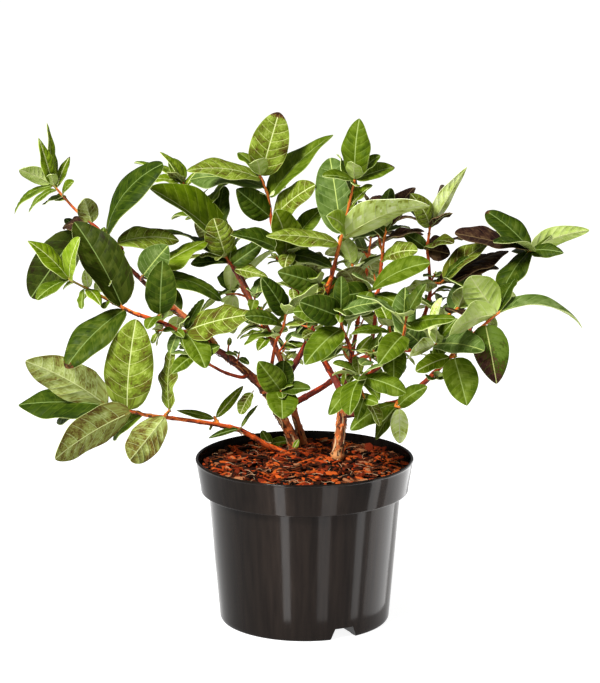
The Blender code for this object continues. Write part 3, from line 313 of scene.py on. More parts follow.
# Looks of the leaves. D is dark, M mid, B bright, G grey-green, O olive mottled with brown, V
# purple-brown, Y young, P pale, K deep dark, W withering brown from its tip. Lower case has a dried
# tip. The leaves that the shoots' table doesn't name are drawn from these letters.
COMMON = "MMDDMGOB"
REDDER = "MDVDMGO"
REDDER_SHOOTS = ("right_low_tip", "right_low_mid", "right_mid", "right_far", "right_tip", "right_high",
                 "centre_right", "right_inner", "right_back", "back_right")
BLADE_SLOTS = {"right_mid": "pale_foliage", "right_tip": "dried_foliage"}

# Ramps of tones for the faces of blades, each from light to dark. A blade's mottling runs along one.
RAMPS = {
    "dark": ((94, 106, 40), (58, 76, 14), (36, 52, 4)),
    "deep": ((78, 86, 34), (48, 60, 10), (38, 34, 12)),
    "mid": ((122, 140, 56), (86, 106, 18), (56, 76, 4)),
    "bright": ((144, 162, 62), (106, 128, 20), (78, 100, 4)),
    "grey": ((136, 154, 92), (96, 118, 54), (64, 86, 28)),
    "olive": ((150, 166, 74), (126, 144, 48), (106, 122, 34), (94, 98, 30), (78, 62, 24)),
    "purple": ((98, 76, 52), (64, 44, 34), (36, 22, 22)),
    "withered": ((84, 104, 34), (60, 80, 14), (74, 62, 30), (84, 58, 44), (58, 38, 30)),
    "young": ((166, 186, 84), (130, 156, 40), (100, 128, 16)),
    "pale": ((240, 248, 192), (224, 240, 152), (202, 222, 116), (150, 158, 62)),
    "under": ((212, 224, 150), (184, 204, 108), (144, 168, 66)),
    "under_olive": ((186, 196, 126), (164, 176, 98), (146, 154, 78), (126, 122, 58), (98, 80, 38)),
    "under_purple": ((128, 108, 74), (90, 68, 48), (56, 36, 28)),
}
RAMP_STEPS = 9
MOTTLE = (0.46, 0.72)      # of plain and of mottled blades
SPOT_SIZES = (0.3, 0.8)    # how fine their spots are
CLOUD_SIZE = 0.13          # how fine the wider clouds of tone are
MARGIN_DARKER = 0.16
OWN_LEVEL = 0.12
WITHER = 1.3               # how fast a withering blade browns towards its tip
DRY_FROM = (0.92, 0.97)    # share of its length where a dried tip begins
# For each letter: the ramp of its upper face and of its lower one, the midrib and the side veins.
SHADE_TONES = {
    "D": ("dark", "under", "vein_dark", "dark_1"), "M": ("mid", "under", "vein_mid", "mid_1"),
    "B": ("bright", "under", "vein_pale", "bright_0"), "G": ("grey", "under", "vein_light", "grey_0"),
    "O": ("olive", "under_olive", "vein_pale", "vein_olive"),
    "V": ("purple", "under_purple", "vein_purple", "purple_1"),
    "K": ("deep", "under", "vein_dark", "deep_1"),
    "W": ("withered", "under_purple", "vein_olive", "withered_1"),
    "Y": ("young", "under", "vein_pale", "young_0"), "P": ("pale", "pale", "vein_white", "pale_0"),
}
MOTTLED = "OPVW"
FINELY_MOTTLED = "OW"
FINE_REACH = 70.0          # finely mottled blades rooted further back than this have coarser faces

# Each tone: its colour from 0 to 255 and its kind of finish.
TONES = {
    "under_vein": ((190, 202, 138), "leaf"),
    "dry_a": ((92, 62, 32), "leaf"), "dry_b": ((58, 40, 24), "leaf"),
    "vein_dark": ((120, 140, 76), "leaf"), "vein_mid": ((150, 168, 92), "leaf"),
    "vein_light": ((176, 192, 104), "leaf"), "vein_olive": ((190, 196, 118), "leaf"),
    "vein_pale": ((206, 214, 144), "leaf"), "vein_white": ((222, 228, 174), "leaf"),
    "vein_purple": ((134, 110, 76), "leaf"),
    "stalk": ((150, 130, 60), "leaf"),
    "bud_green": ((144, 150, 64), "leaf"), "bud_brown": ((110, 66, 40), "bark"),
    "strip_pale": ((210, 172, 130), "bark"), "strip_tan": ((192, 126, 72), "bark"),
    "strip_brown": ((110, 56, 30), "bark"), "strip_dark": ((66, 32, 18), "bark"),
    "berry_dark": ((34, 22, 34), "bark"),
    "soil_dark": ((26, 14, 8), "mulch"), "soil_brown": ((50, 24, 12), "mulch"),
    "chip_orange": ((206, 92, 36), "mulch"), "chip_rust": ((176, 66, 24), "mulch"),
    "chip_red": ((118, 42, 18), "mulch"), "chip_brown": ((90, 42, 20), "mulch"),
    "chip_dark": ((50, 24, 12), "mulch"), "chip_black": ((26, 16, 10), "mulch"),
    "chip_tan": ((178, 116, 78), "mulch"),
    "fibre_pale": ((200, 160, 124), "mulch"), "fibre_tan": ((150, 84, 48), "mulch"),
    "pot_black": ((28, 20, 15), "plastic"),
}
# The pot's upright streaks: the dark and the light tone, their scale and how far they are drawn out.
POT_STREAKS = ((26, 22, 20), (34, 29, 26), 240.0, (1.0, 1.0, 0.02))
# Bark along a limb, from old to young, and how much its copies are lightened: a darker copy of
# painted shade for faces turned down, a plain one, and a lighter copy of painted light for faces turned up.
BARK_TONES = ((196, 132, 78), (176, 92, 46), (112, 52, 34), (104, 38, 26), (154, 52, 20), (192, 78, 24),
              (204, 108, 40), (158, 148, 60))
BARK_PAINTED_LIGHT = (0.46, 1.0, 1.35)
FIBRE_TONES = ("fibre_pale", "fibre_tan", "fibre_tan", "chip_brown", "chip_red")
CHIP_TONES = ("chip_orange", "chip_rust", "chip_rust", "chip_red", "chip_red", "chip_brown", "chip_brown",
              "chip_brown", "chip_dark", "chip_dark", "chip_dark", "chip_black", "chip_black", "chip_black",
              "chip_orange", "chip_tan")

# Each finish: scale of its uneven gloss, lowest and highest roughness, texture, scale, depth in
# millimetres and strength of its relief, specular level, and stretch of both textures.
FINISHES = {
    "leaf": (220.0, 0.45, 0.68, "ShaderNodeTexVoronoi", 1100.0, 0.15, 0.5, 0.06, (1.0, 1.0, 1.0)),
    "bark": (300.0, 0.55, 0.8, "ShaderNodeTexNoise", 900.0, 0.25, 0.6, 0.35, (1.0, 1.0, 0.3)),
    "mulch": (260.0, 0.7, 0.95, "ShaderNodeTexNoise", 700.0, 0.5, 0.7, 0.1, (1.0, 1.0, 1.0)),
    "plastic": (420.0, 0.12, 0.2, "ShaderNodeTexNoise", 600.0, 0.04, 0.25, 0.07, (1.0, 1.0, 0.04)),
    "floor": (2.0, 0.85, 0.95, "ShaderNodeTexNoise", 30.0, 0.05, 0.05, 0.2, (1.0, 1.0, 1.0)),
}
NOISE_LOW = 0.3            # the span that the noise mostly keeps to
NOISE_HIGH = 0.7
# How much of the light each kind gives back, against the tones above.
DEPTHS = {"leaf": 0.67, "bark": 0.8, "mulch": 0.65, "plastic": 0.65, "floor": 1.0}

# Bark: the tone at a limb's foot and tip, as places in BARK_TONES, and how strongly it streaks.
LIMB_TONES = {
    "stem_left": (1.2, 0.0), "stem_right": (0.3, 1.4), "stem_low": (4.5, 5.5), "stem_back": (1.0, 1.8),
    "bough_mid_left": (1.0, 5.2), "bough_upper_left": (0.2, 3.6), "bough_top": (2.6, 5.6),
}
OTHER_TONES = (3, 5)       # of a limb that the table leaves out
SHOOT_TIP_TONE = {"upper_left_tip": 7, "mid_left_tip": 7, "top": 6}
STREAKS = {"stem_left": 1.7, "stem_right": 1.7, "stem_back": 1.3, "bough_upper_left": 1.6}
OTHER_STREAKS = 0.9
# Each kind of tube: its sides, the step along it and the height of its ridges as a share of its radius.
BARK_DETAIL = {
    "limb": (20, 1.4, 0.07), "twig": (10, 1.2, 0.05), "fine_twig": (8, 1.2, 0.04), "stalk": (6, 1.2, 0.04),
}
# Nodes: where a limb's first one is and the gaps to the next, where a twig has its own, how far
# they swell, and the length of the buds there and at the tips.
FIRST_NODE = (10, 18)
BOUGH_NODE_GAP = (20, 30)
TWIG_NODES = (0.35, 0.68, 0.94)
NODE_LENGTH = 1.8
NODE_SWELLING = (0.12, 0.22)
TWIG_SWELLING = 0.3
LIMB_BUD = (1.6, 3.0)
TWIG_BUD = (1.5, 2.6)
TIP_BUD = 3.2
FINE_TIP_BUD = 2.4
# The collar where a bough or a twig leaves its limb: its length and its extra share of the radius.
COLLAR_LENGTH = 3.0
COLLAR_FLARE = 0.35
TWIG_FLARE = 0.3
STRIP_STEPS = 7
STRIP_LENGTH = (7, 19)
STRIP_WIDTH = (0.7, 1.8)
STRIP_LIFT = 0.9
STRIP_THICKNESS = 0.28
STRIP_TONES = ("strip_pale", "strip_tan", "strip_tan", "strip_brown", "strip_dark")
# Peeling bark: spans of each stem as shares of its length, and the strips in each.
PEELING = {
    "stem_left": ((0.05, 0.8, 30),), "stem_right": ((0.05, 0.8, 30),), "stem_low": ((0.05, 0.5, 7),),
    "stem_back": ((0.04, 0.3, 8),), "bough_mid_left": ((0.0, 0.35, 12),),
    "bough_upper_left": ((0.0, 0.3, 16),),
}

# Blades
STALK_LENGTH = 2.6
STALK_RADIUS = 0.62
VEIN_WIDTH = 0.42
VEINS_FROM = 0.07          # the side veins' first place and their span, as shares of its length
VEINS_SPAN = 0.80
VEIN_ARC = 0.40            # how far the side veins sweep up towards the tip
RIB_WIDTH = 0.9
EDGE_WIDTH = 0.4
PUFF = 0.65                # how far a blade puffs up between its veins
GROOVE = 0.25
BLADE_THICKNESS = 0.45
WIDER = 1.04               # than the solid's leaf, whose straight edges reach as far
BASE_SHAPE = (0.46, 0.60)  # below 1 rounds a blade's base, the lower the rounder
TIP_SHAPE = (0.52, 0.86)
NARROW = 0.36              # a blade narrower than this share of its length has a sharper tip
FOLD_CHANGE = (-9, 12)     # degrees more or less than LEAF_FOLD
WAVES = (1.0, 2.4)         # waves along the margin, and their height as a share of its width
WAVE_HEIGHT = (0.02, 0.10)
CURL = (-0.05, 0.16)       # how far the margins curl down, as a share of its width
TWIST = 0.45               # radians that a blade may twist by its tip
RIB_END = 0.78             # share of its length that the rib runs under the blade
BLADE_SHARP = 50           # degrees between faces that keep a crease
TUBE_SHARP = 60
# For blades longer than each length: side veins, rows between them and columns on each half.
BLADE_DETAIL = ((36, 6, 4, 5), (24, 5, 1, 3), (15, 4, 0, 2), (0, 2, 0, 1))

# Finer growth
NODE_SPACING = 17.0
AXIL_LEAF = (11.0, 22.0)
AXIL_SPREAD = (25, 65)     # degrees between such a leaf and its shoot
AXIL_SHADES = "MBBYMP"
AXIL_TWIG = (7.0, 18.0)
AXIL_TWIG_FROM = 0.25      # the part of a bough that bears them
AXIL_TWIG_SPAN = 0.7
AXIL_TWIG_RADII = (1.1, 0.9, 0.7)
AXIL_TWIG_LEAF = 1.3       # size of its leaves beside the others
AXIL_TWIG_SHADES = "MDMBGO"
LEAFY_BOUGHS = ("bough_top", "bough_top_left", "bough_cross", "bough_front", "bough_front_right",
                "bough_right_low", "bough_centre_right", "bough_right_mid", "bough_back_right",
                "bough_back_left", "bough_mid_left", "bough_upper_left", "stem_back")

# Sky that shows between the boughs, kept free of finer growth: left, top, right and foot of each
# patch, in pixels of the picture.
PICTURE_SIZE = (600, 683)
SKY_PATCHES = (
    (108, 188, 160, 226), (215, 195, 262, 235), (172, 262, 228, 287), (124, 272, 149, 330),
    (158, 362, 236, 410), (232, 395, 268, 432), (304, 384, 333, 432), (290, 120, 345, 178),
    (432, 110, 520, 205), (500, 318, 600, 440), (404, 384, 460, 442), (364, 110, 400, 160),
    (295, 238, 318, 262), (170, 120, 238, 152), (30, 300, 70, 352), (276, 418, 292, 440),
)

# Small leaves low down, by the stems' feet and under the knot: root, tip, seen width, width as a
# share of length, and shade.
LOW_LEAVES = (
    ((-29, 52, 139), (-38, 58, 153), 9, 0.46, "M"), ((-14, 60, 143), (-32, 52, 142), 10, 0.46, "M"),
    ((-10, 44, 139), (-5, 44, 148), 5, 0.46, "Y"), ((-56, 18, 165), (-41, 18, 186), 4, 0.2, "M"),
    ((-57, 16, 165), (-84, 6, 159), 5, 0.2, "D"), ((-45, 18, 198), (-56, 8, 180), 10, 0.5, "O"),
)
# A dried berry on its stalk under the low right bough.
BERRY_STALK = ((60, -13, 187), (58, -18, 186), (57, -20, 184))
BERRY_SIZE = (2.2, 6.0)

# Pot and mulch
LIP_ROUND = 1.3
POT_SHARP = 35
MULCH_RADIUS = 91.6
MULCH_EDGE = 136.6
MULCH_RISE = 3.6
BED_DEPTH = 1.2            # the bed's top under the mulch's surface
BED_RINGS = 34
BED_SPOKES = 96
CHIP_REACH = 88.0
CHIPS = 1500
CHIP_SHARP = 20
CHIP_CORNERS = 8
LONG_CHIPS = 0.6           # share of the chips
LONG_CHIP = (5.0, 15.0)
SHORT_CHIP = (2.5, 6.0)
CHIP_WIDTH = (0.22, 0.6)   # of its length
CHIP_THICKNESS = (0.6, 1.8)
CHIP_SETTLE = (-0.8, 0.9)  # how far a chip sinks in or lies up
CLEAR_OF_STEMS = 7.0
FIBRES = 220
FIBRE_LENGTH = (6, 20)
FIBRE_BEND = 0.12
FIBRE_POINTS = 7

# Studio, in metres and radians; the lens and the sensor are in millimetres.
WHITE = (1.0, 1.0, 1.0, 1.0)
WORLD_STRENGTH = 0.28
FLOOR_TONE = (170, 170, 170)
FLOOR_GLOW = 0.9        # keeps the floor white in the plant's shadow
FLOOR_SIZE = 60.0
FLOOR_BELOW = 0.0002    # clearance under the pot
LIT_MIDDLE = (0.0, 0.0, 0.25)
# Each light: its place, width, height and power.
LIGHTS = (
    ("key_light", (-1.2, -1.6, 2.0), 0.7, 0.7, 156.0),
    ("fill_light", (1.6, -1.2, 1.2), 1.0, 1.0, 6.0),
)
# Thin low lights close round the pot, which its plastic shows as upright highlights: the turn of
# the wall that shows each, and its width and power.
POT_STRIPS = ((-11.8, 0.012, 0.07), (12.0, 0.018, 0.039), (36.0, 0.014, 0.043), (60.0, 0.07, 0.1))
POT_STRIP_GAP = 0.03
POT_STRIP_HEIGHT = 0.15
CAMERA_SPOT = (-0.00395, -2.0376, 0.6775)
CAMERA_DOWN = 0.20848
CAMERA_LENS = 127.3
CAMERA_SENSOR = 36.0


# Paths

def smooth_path(points, step):
    """A smooth line through the points, as Vectors about one step apart."""
    knots = [Vector(p) for p in points]
    ends = [knots[0] * 2 - knots[1]] + knots + [knots[-1] * 2 - knots[-2]]
    path = [knots[0]]
    for before, start, end, after in zip(ends, ends[1:], ends[2:], ends[3:]):
        span = (end - start).length
        pull_out = (end - before) * 0.5 * min(1.0, span / (start - before).length)
        pull_in = (after - start) * 0.5 * min(1.0, span / (after - end).length)
        pieces = max(1, round(span / step))
        for i in range(1, pieces + 1):
            t = i / pieces
            path.append(start * (2 * t ** 3 - 3 * t ** 2 + 1) + pull_out * (t ** 3 - 2 * t ** 2 + t)
                        + end * (3 * t ** 2 - 2 * t ** 3) + pull_in * (t ** 3 - t ** 2))
    return path


def tapered(path, first, last):
    """A radius for each point of a path, from the first to the last."""
    lengths = [0.0]
    for a, b in zip(path, path[1:]):
        lengths.append(lengths[-1] + (b - a).length)
    return [first + (last - first) * s / lengths[-1] for s in lengths]


def length_of(path):
    return sum((b - a).length for a, b in zip(path, path[1:]))


def along(path, fraction):
    """The point and direction at a fraction of a path's length."""
    spans = [(b - a).length for a, b in zip(path, path[1:])]
    left = fraction * sum(spans)
    for a, b, span in zip(path, path[1:], spans):
        if left <= span or b is path[-1]:
            return a + (b - a) * min(1.0, left / span), (b - a).normalized()
        left -= span


def nearest_on(path, radii, point):
    """The nearest point of a path's line, the radius there and the fraction along the path."""
    spans = [(b - a).length for a, b in zip(path, path[1:])]
    best = None
    done = 0.0
    for a, b, r0, r1, span in zip(path, path[1:], radii, radii[1:], spans):
        t = min(1.0, max(0.0, (point - a).dot(b - a) / span ** 2))
        foot = a + (b - a) * t
        far = (point - foot).length
        if best is None or far < best[0]:
            best = (far, foot, r0 + (r1 - r0) * t, (done + span * t) / sum(spans))
        done += span
    return best


def leaf_seat(path, fraction, rng):
    """Where a leaf is rooted on its twig, below its tip and a little apart from its neighbours."""
    length = length_of(path)
    share = min(fraction, 1.0 - TIP_SEAT / length) + rng.uniform(-SEAT_SPREAD, SEAT_SPREAD) / length
    return along(path, max(share, TIP_SEAT / length))


def any_side(direction):
    """A unit vector square to a direction."""
    return direction.orthogonal().normalized()


def side_at(direction, turn):
    """A unit vector square to a direction, turned about it by an angle in radians."""
    return Matrix.Rotation(turn, 3, direction) @ any_side(direction)


def spoke(u, v, angle):
    return u * math.cos(angle) + v * math.sin(angle)


def clear_start(parent, foot, towards, radius):
    """The first point on a line from a limb's middle where a flat end is clear of the limb."""
    path, radii = parent
    direction = (towards - foot).normalized()
    u = any_side(direction)
    v = direction.cross(u)
    reach = 0.0
    while True:
        centre = foot + direction * reach
        angles = np.linspace(0, 2 * math.pi, 13)
        rim = [centre + spoke(u, v, a) * radius for a in angles]
        spare = min(far - r for far, _, r, _ in (nearest_on(path, radii, p) for p in rim + [centre]))
        if spare >= GAP:
            return centre
        reach += START_STEP


def grown_path(parent, points, radius, step):
    """The path of a limb or shoot that grows from its parent's tip or side, a gap clear of it."""
    path, radii = parent
    points = [Vector(p) for p in points]
    _, foot, _, fraction = nearest_on(path, radii, points[0])
    if fraction > TIP_FRACTION:
        end, direction = path[-1], (path[-1] - path[-2]).normalized()
        lead = [end + direction * GAP, end + direction * TIP_LEAD]
        return smooth_path(lead + points, step)
    goal = points[0] if (points[0] - foot).length > radius * 2.5 else points[1]
    rest = points if goal is points[0] else points[1:]
    return smooth_path([clear_start(parent, foot, goal, radius)] + rest, step)


# Limbs

def limb_plan():
    """The path and radii of each limb, in millimetres."""
    plan = {}
    for name, (parent, first, last, points) in LIMBS.items():
        if parent is None:
            path = smooth_path(points, LIMB_STEP)
            radii = tapered(path, first, last)
            rise = [p.z - MEDIUM_TOP for p in path]
            radii = [r * (1 + FLARE * math.exp(-h / FLARE_REACH)) for r, h in zip(radii, rise)]
        else:
            path = grown_path(plan[parent], points, first, LIMB_STEP)
            radii = tapered(path, first, last)
        plan[name] = (path, radii)
    return plan


# Leaves. A leaf is (root, direction, normal, length, width, bend): its midrib is an arc that
# leaves its root along the direction and curves away from the normal.

def midrib(leaf, s):
    """The point, direction and upper normal at a fraction of a leaf's length."""
    root, direction, normal, length, _, bend = leaf
    angle = bend * s
    point = root + (direction * math.sin(angle) - normal * (1 - math.cos(angle))) * (length / bend)
    return (point, direction * math.cos(angle) - normal * math.sin(angle),
            normal * math.cos(angle) + direction * math.sin(angle))


def half_width(leaf, s):
    """Half the blade's width: a rounded oval, widest a little below its middle."""
    return leaf[4] * 0.5 * math.sin(math.pi * s ** LEAF_LOWER) ** LEAF_FULLNESS


def leaf_solid(leaf, first=0.0, thickness=LEAF_THICKNESS, spread=0.0):
    """The points and faces of one leaf: a folded, arching lens with 8 or 16 faces."""
    fold = math.radians(LEAF_FOLD)
    sections = SMALL_SECTIONS if leaf[3] < SMALL_LEAF else LEAF_SECTIONS
    spots = [midrib(leaf, first)[0]]
    for s in sections:
        point, forward, up = midrib(leaf, max(s, first + 0.1))
        side = forward.cross(up) * math.cos(fold) + up * math.sin(fold)
        other = forward.cross(up) * -math.cos(fold) + up * math.sin(fold)
        reach = half_width(leaf, s) * SECTION_SWELL + spread
        spots += [point + side * reach, point + up * (thickness / 2),
                  point + other * reach, point - up * (thickness / 2)]
    end, forward, _ = midrib(leaf, 1.0)
    spots.append(end + forward * spread)
    tip = len(spots) - 1
    faces = []
    for k in range(4):
        a, b = 1 + k, 1 + (k + 1) % 4
        faces.append((0, a, b))
        for far_a, far_b in ((a + step, b + step) for step in range(4, tip - 1, 4)):
            near_a, near_b = far_a - 4, far_b - 4
            if k % 2 == 0:
                faces += [(near_a, far_a, near_b), (near_b, far_a, far_b)]
            else:
                faces += [(near_a, far_b, near_b), (near_a, far_a, far_b)]
        faces.append((a + tip - 5, tip, b + tip - 5))
    return spots, faces


def aimed_leaf(root, tip, seen_width, bend, share, rng):
    """A leaf with its root and tip in given places, turned so that its width looks as given."""
    chord = tip - root
    bend = math.radians(bend if bend else LEAF_BEND * rng.uniform(0.6, 1.3))
    length = chord.length * (bend / 2) / math.sin(bend / 2)
    width = max(abs(seen_width), share * length)
    ahead = chord.normalized()
    facing = (VIEW_SIDE - ahead * VIEW_SIDE.dot(ahead)).normalized()
    upward = ahead.cross(facing)
    if upward.z < 0:
        upward = -upward
    lean = math.acos(min(1.0, abs(seen_width) / width))
    normal = facing * math.copysign(math.cos(lean), seen_width) + upward * math.sin(lean)
    direction = ahead * math.cos(bend / 2) + normal * math.sin(bend / 2)
    upper = normal * math.cos(bend / 2) - ahead * math.sin(bend / 2)
    return root - direction * ROOT_SINK, direction, upper, length + ROOT_SINK, width, bend


def rule_leaf(root, stem, side, spread, length, rng):
    """A leaf of a pair: it leaves its stem at an angle and turns its upper face to the light."""
    direction = (stem * math.cos(spread) + side * math.sin(spread)).normalized()
    inner = (stem - direction * stem.dot(direction)).normalized()
    light = Vector((0, 0, 1)) - direction * direction.z
    light = light.normalized() if light.length > 0.2 else inner
    normal = (inner + light * LEAF_LIGHT).normalized()
    normal = Matrix.Rotation(rng.uniform(-LEAF_ROLL, LEAF_ROLL), 3, direction) @ normal
    bend = math.radians(LEAF_BEND * rng.uniform(0.6, 1.5))
    width = length * LEAF_WIDTH * rng.uniform(0.9, 1.1)
    return root - direction * ROOT_SINK, direction, normal, length, width, bend


def tree_of(spots, faces):
    return BVHTree.FromPolygons([tuple(p) for p in spots], faces)


def tube_solid(path, radii, sides=5):
    """The points and faces of a plain tube round a path, used to test for touching."""
    spots = []
    faces = []
    for i, (point, radius) in enumerate(zip(path, radii)):
        forward = (path[min(i + 1, len(path) - 1)] - path[max(i - 1, 0)]).normalized()
        u = any_side(forward)
        v = forward.cross(u)
        for k in range(sides):
            spots.append(point + spoke(u, v, 2 * math.pi * k / sides) * radius)
    for i in range(len(path) - 1):
        for k in range(sides):
            a, b = i * sides + k, i * sides + (k + 1) % sides
            faces.append((a, b, b + sides, a + sides))
    return spots, faces


def widened_tube(path, radii):
    return tree_of(*tube_solid(path, [r + TEST_MARGIN for r in radii]))


class Crown:
    """What is already in the crown, so that each new leaf can be tested against it."""

    def __init__(self, limbs):
        self.limbs = {name: widened_tube(*limb) for name, limb in limbs.items()}
        self.twigs = []
        self.leaves = []

    def add_twig(self, shoot, path, radii):
        self.twigs.append((shoot, widened_tube(path, radii)))

    def twig_fits(self, shoot, path, radii, own_limb=None):
        """True if a side twig stays clear of the limbs, of other shoots' twigs and of every leaf."""
        tree = widened_tube(path, radii)
        others = [limb for name, limb in self.limbs.items() if name != own_limb]
        others += [twig for owner, twig in self.twigs if owner != shoot]
        others += [leaf[3] for leaf in self.leaves]
        return not any(tree.overlap(other) for other in others)

    def fits(self, shoot, limb, leaf):
        """True if a leaf stays clear of the ground, the limbs, the twigs and every other leaf."""
        whole_spots, faces = leaf_solid(leaf, 0.0, LEAF_THICKNESS + TEST_MARGIN, TEST_MARGIN)
        if min(p.z for p in whole_spots) < LOWEST_LEAF:
            return False
        whole = tree_of(whole_spots, faces)
        blade = tree_of(*leaf_solid(leaf, TRIM, LEAF_THICKNESS + TEST_MARGIN, TEST_MARGIN))
        for name, tube in self.limbs.items():
            if (blade if name == limb else whole).overlap(tube):
                return False
        for owner, twig in self.twigs:
            if (blade if owner == shoot else whole).overlap(twig):
                return False
        centre = midrib(leaf, 0.5)[0]
        reach = leaf[3] * LEAF_REACH
        for owner, other_centre, other_reach, other_whole, other_blade in self.leaves:
            if (centre - other_centre).length > reach + other_reach:
                continue
            if owner == shoot:
                if blade.overlap(other_blade):
                    return False
            elif whole.overlap(other_whole):
                return False
        self.leaves.append((shoot, centre, reach, whole, blade))
        return True


def pairs_on(crown, shoot, limb, path, count, length, turn, rng):
    """Opposite pairs of leaves up a twig, each pair square to the last, where they fit."""
    leaves = []
    for k in range(count):
        fraction = 1.0 - PAIR_SPAN * k / count
        spread = math.radians(TIP_SPREAD + LOW_SPREAD * (1 - fraction) ** 0.6)
        size = length * (TIP_SIZE if k == 0 else rng.uniform(0.85, 1.1))
        for half in (0, 180):
            root, stem = leaf_seat(path, fraction, rng)
            twist = turn + PAIR_TURN * k + half + rng.uniform(-PAIR_SCATTER, PAIR_SCATTER)
            for extra_turn, extra_spread, shrink in TRIES:
                side = side_at(stem, math.radians(twist + extra_turn))
                wider = spread + math.radians(extra_spread)
                leaf = rule_leaf(root, stem, side, wider, size * shrink, rng)
                if crown.fits(shoot, limb, leaf):
                    leaves.append(leaf)
                    break
    return leaves


# Growth

def aimed_leaves(crown, shoot, path, rows, rng):
    """The leaves that shape the outline; a tip moves along the line of sight if it doesn't fit."""
    leaves = []
    for (fraction, tip, seen_width, *shape), shade in zip(rows, SHOOTS[shoot][1]):
        bend = shape[0] if shape else None
        share = shape[1] if len(shape) > 1 else LEAF_WIDTH
        root, _ = leaf_seat(path, fraction, rng)
        tip = Vector(tip)
        sight = (tip - EYE).normalized()
        for shift in AIM_SHIFTS:
            leaf = aimed_leaf(root, tip + sight * shift, seen_width, bend, share, rng)
            if crown.fits(shoot, SHOOTS[shoot][0], leaf):
                leaves.append((leaf, shade))
                break
    return leaves


def side_twig_path(path, index, count, turn, rng):
    """A short twig from the side of a shoot, a little arched."""
    root, stem = along(path, SIDE_TWIG_FIRST + SIDE_TWIG_SPAN * index / count)
    side = side_at(stem, math.radians(turn + SIDE_TWIG_TURN * index + 45))
    angle = math.radians(SIDE_TWIG_ANGLE)
    heading = (stem * math.cos(angle) + side * math.sin(angle)).normalized()
    end = root + heading * SIDE_TWIG_LENGTH * rng.uniform(0.8, 1.2)
    return [root, (root + end) * 0.5 + Vector((0, 0, SIDE_TWIG_ARCH)), end]


def shoot_plan(limbs, crown):
    """The twigs and leaves of each shoot, in millimetres: {name: (twigs, [(leaf, shade)])}."""
    plan = {}
    for name, (limb, _, points, *_) in SHOOTS.items():
        tip_radius = limbs[limb][1][-1]
        path = grown_path(limbs[limb], points, tip_radius, TWIG_STEP)
        radii = tapered(path, tip_radius, TWIG_TIP_RADIUS)
        plan[name] = ([(path, radii)], [])
        crown.add_twig(name, path, radii)
    for index, (name, row) in enumerate(SHOOTS.items()):
        rng = random.Random(SEED * 1000 + index)
        plan[name][1].extend(aimed_leaves(crown, name, plan[name][0][0][0], row[-1], rng))
    for index, (name, (limb, _, _, pairs, length, turn, side_twigs, _)) in enumerate(SHOOTS.items()):
        rng = random.Random(SEED * 2000 + index)
        shade_rng = random.Random(SEED * 3000 + index)
        twigs, leaves = plan[name]
        path = twigs[0][0]
        grown = pairs_on(crown, name, limb, path, pairs, length, turn, rng)
        for k in range(side_twigs):
            twig = side_twig_path(path, k, side_twigs, turn, rng)
            if crown.twig_fits(name, twig, [TWIG_TIP_RADIUS] * len(twig)):
                twigs.append((twig, tapered(twig, TWIG_TIP_RADIUS * 1.2, TWIG_TIP_RADIUS * 0.8)))
                crown.add_twig(name, twig[1:], [TWIG_TIP_RADIUS] * 2)
                grown += pairs_on(crown, name, limb, twig, SIDE_TWIG_PAIRS, length * SIDE_TWIG_SIZE,
                                  turn + 50 * k, rng)
        letters = REDDER if name in REDDER_SHOOTS else COMMON
        leaves.extend((leaf, shade_rng.choice(letters)) for leaf in grown)
    return plan


def in_pot_plane(across, down):
    """Where a pixel lies in the upright plane through the pot's middle, in whole millimetres."""
    width, height = PICTURE_SIZE
    focal = CAMERA_LENS / CAMERA_SENSOR * height
    right = (across - width / 2) / focal
    up = (height / 2 - down) / focal
    reach = -CAMERA_SPOT[1] / (math.cos(CAMERA_DOWN) + up * math.sin(CAMERA_DOWN))
    x = CAMERA_SPOT[0] + reach * right
    z = CAMERA_SPOT[2] + reach * (up * math.cos(CAMERA_DOWN) - math.sin(CAMERA_DOWN))
    return round(x / MM), round(z / MM)


OPEN_SKY = [in_pot_plane(left, foot) + in_pot_plane(right, top) for left, top, right, foot in SKY_PATCHES]


def covers_sky(spots):
    """True if one of the points lies in a patch of open sky, as the viewer sees it."""
    for spot in spots:
        seen = EYE + (spot - EYE) * (EYE.y / (EYE.y - spot.y))
        if any(left < seen.x < right and foot < seen.z < top for left, foot, right, top in OPEN_SKY):
            return True
    return False


def leaf_covers_sky(leaf):
    return covers_sky([midrib(leaf, share)[0] for share in (0.35, 0.7, 1.0)])


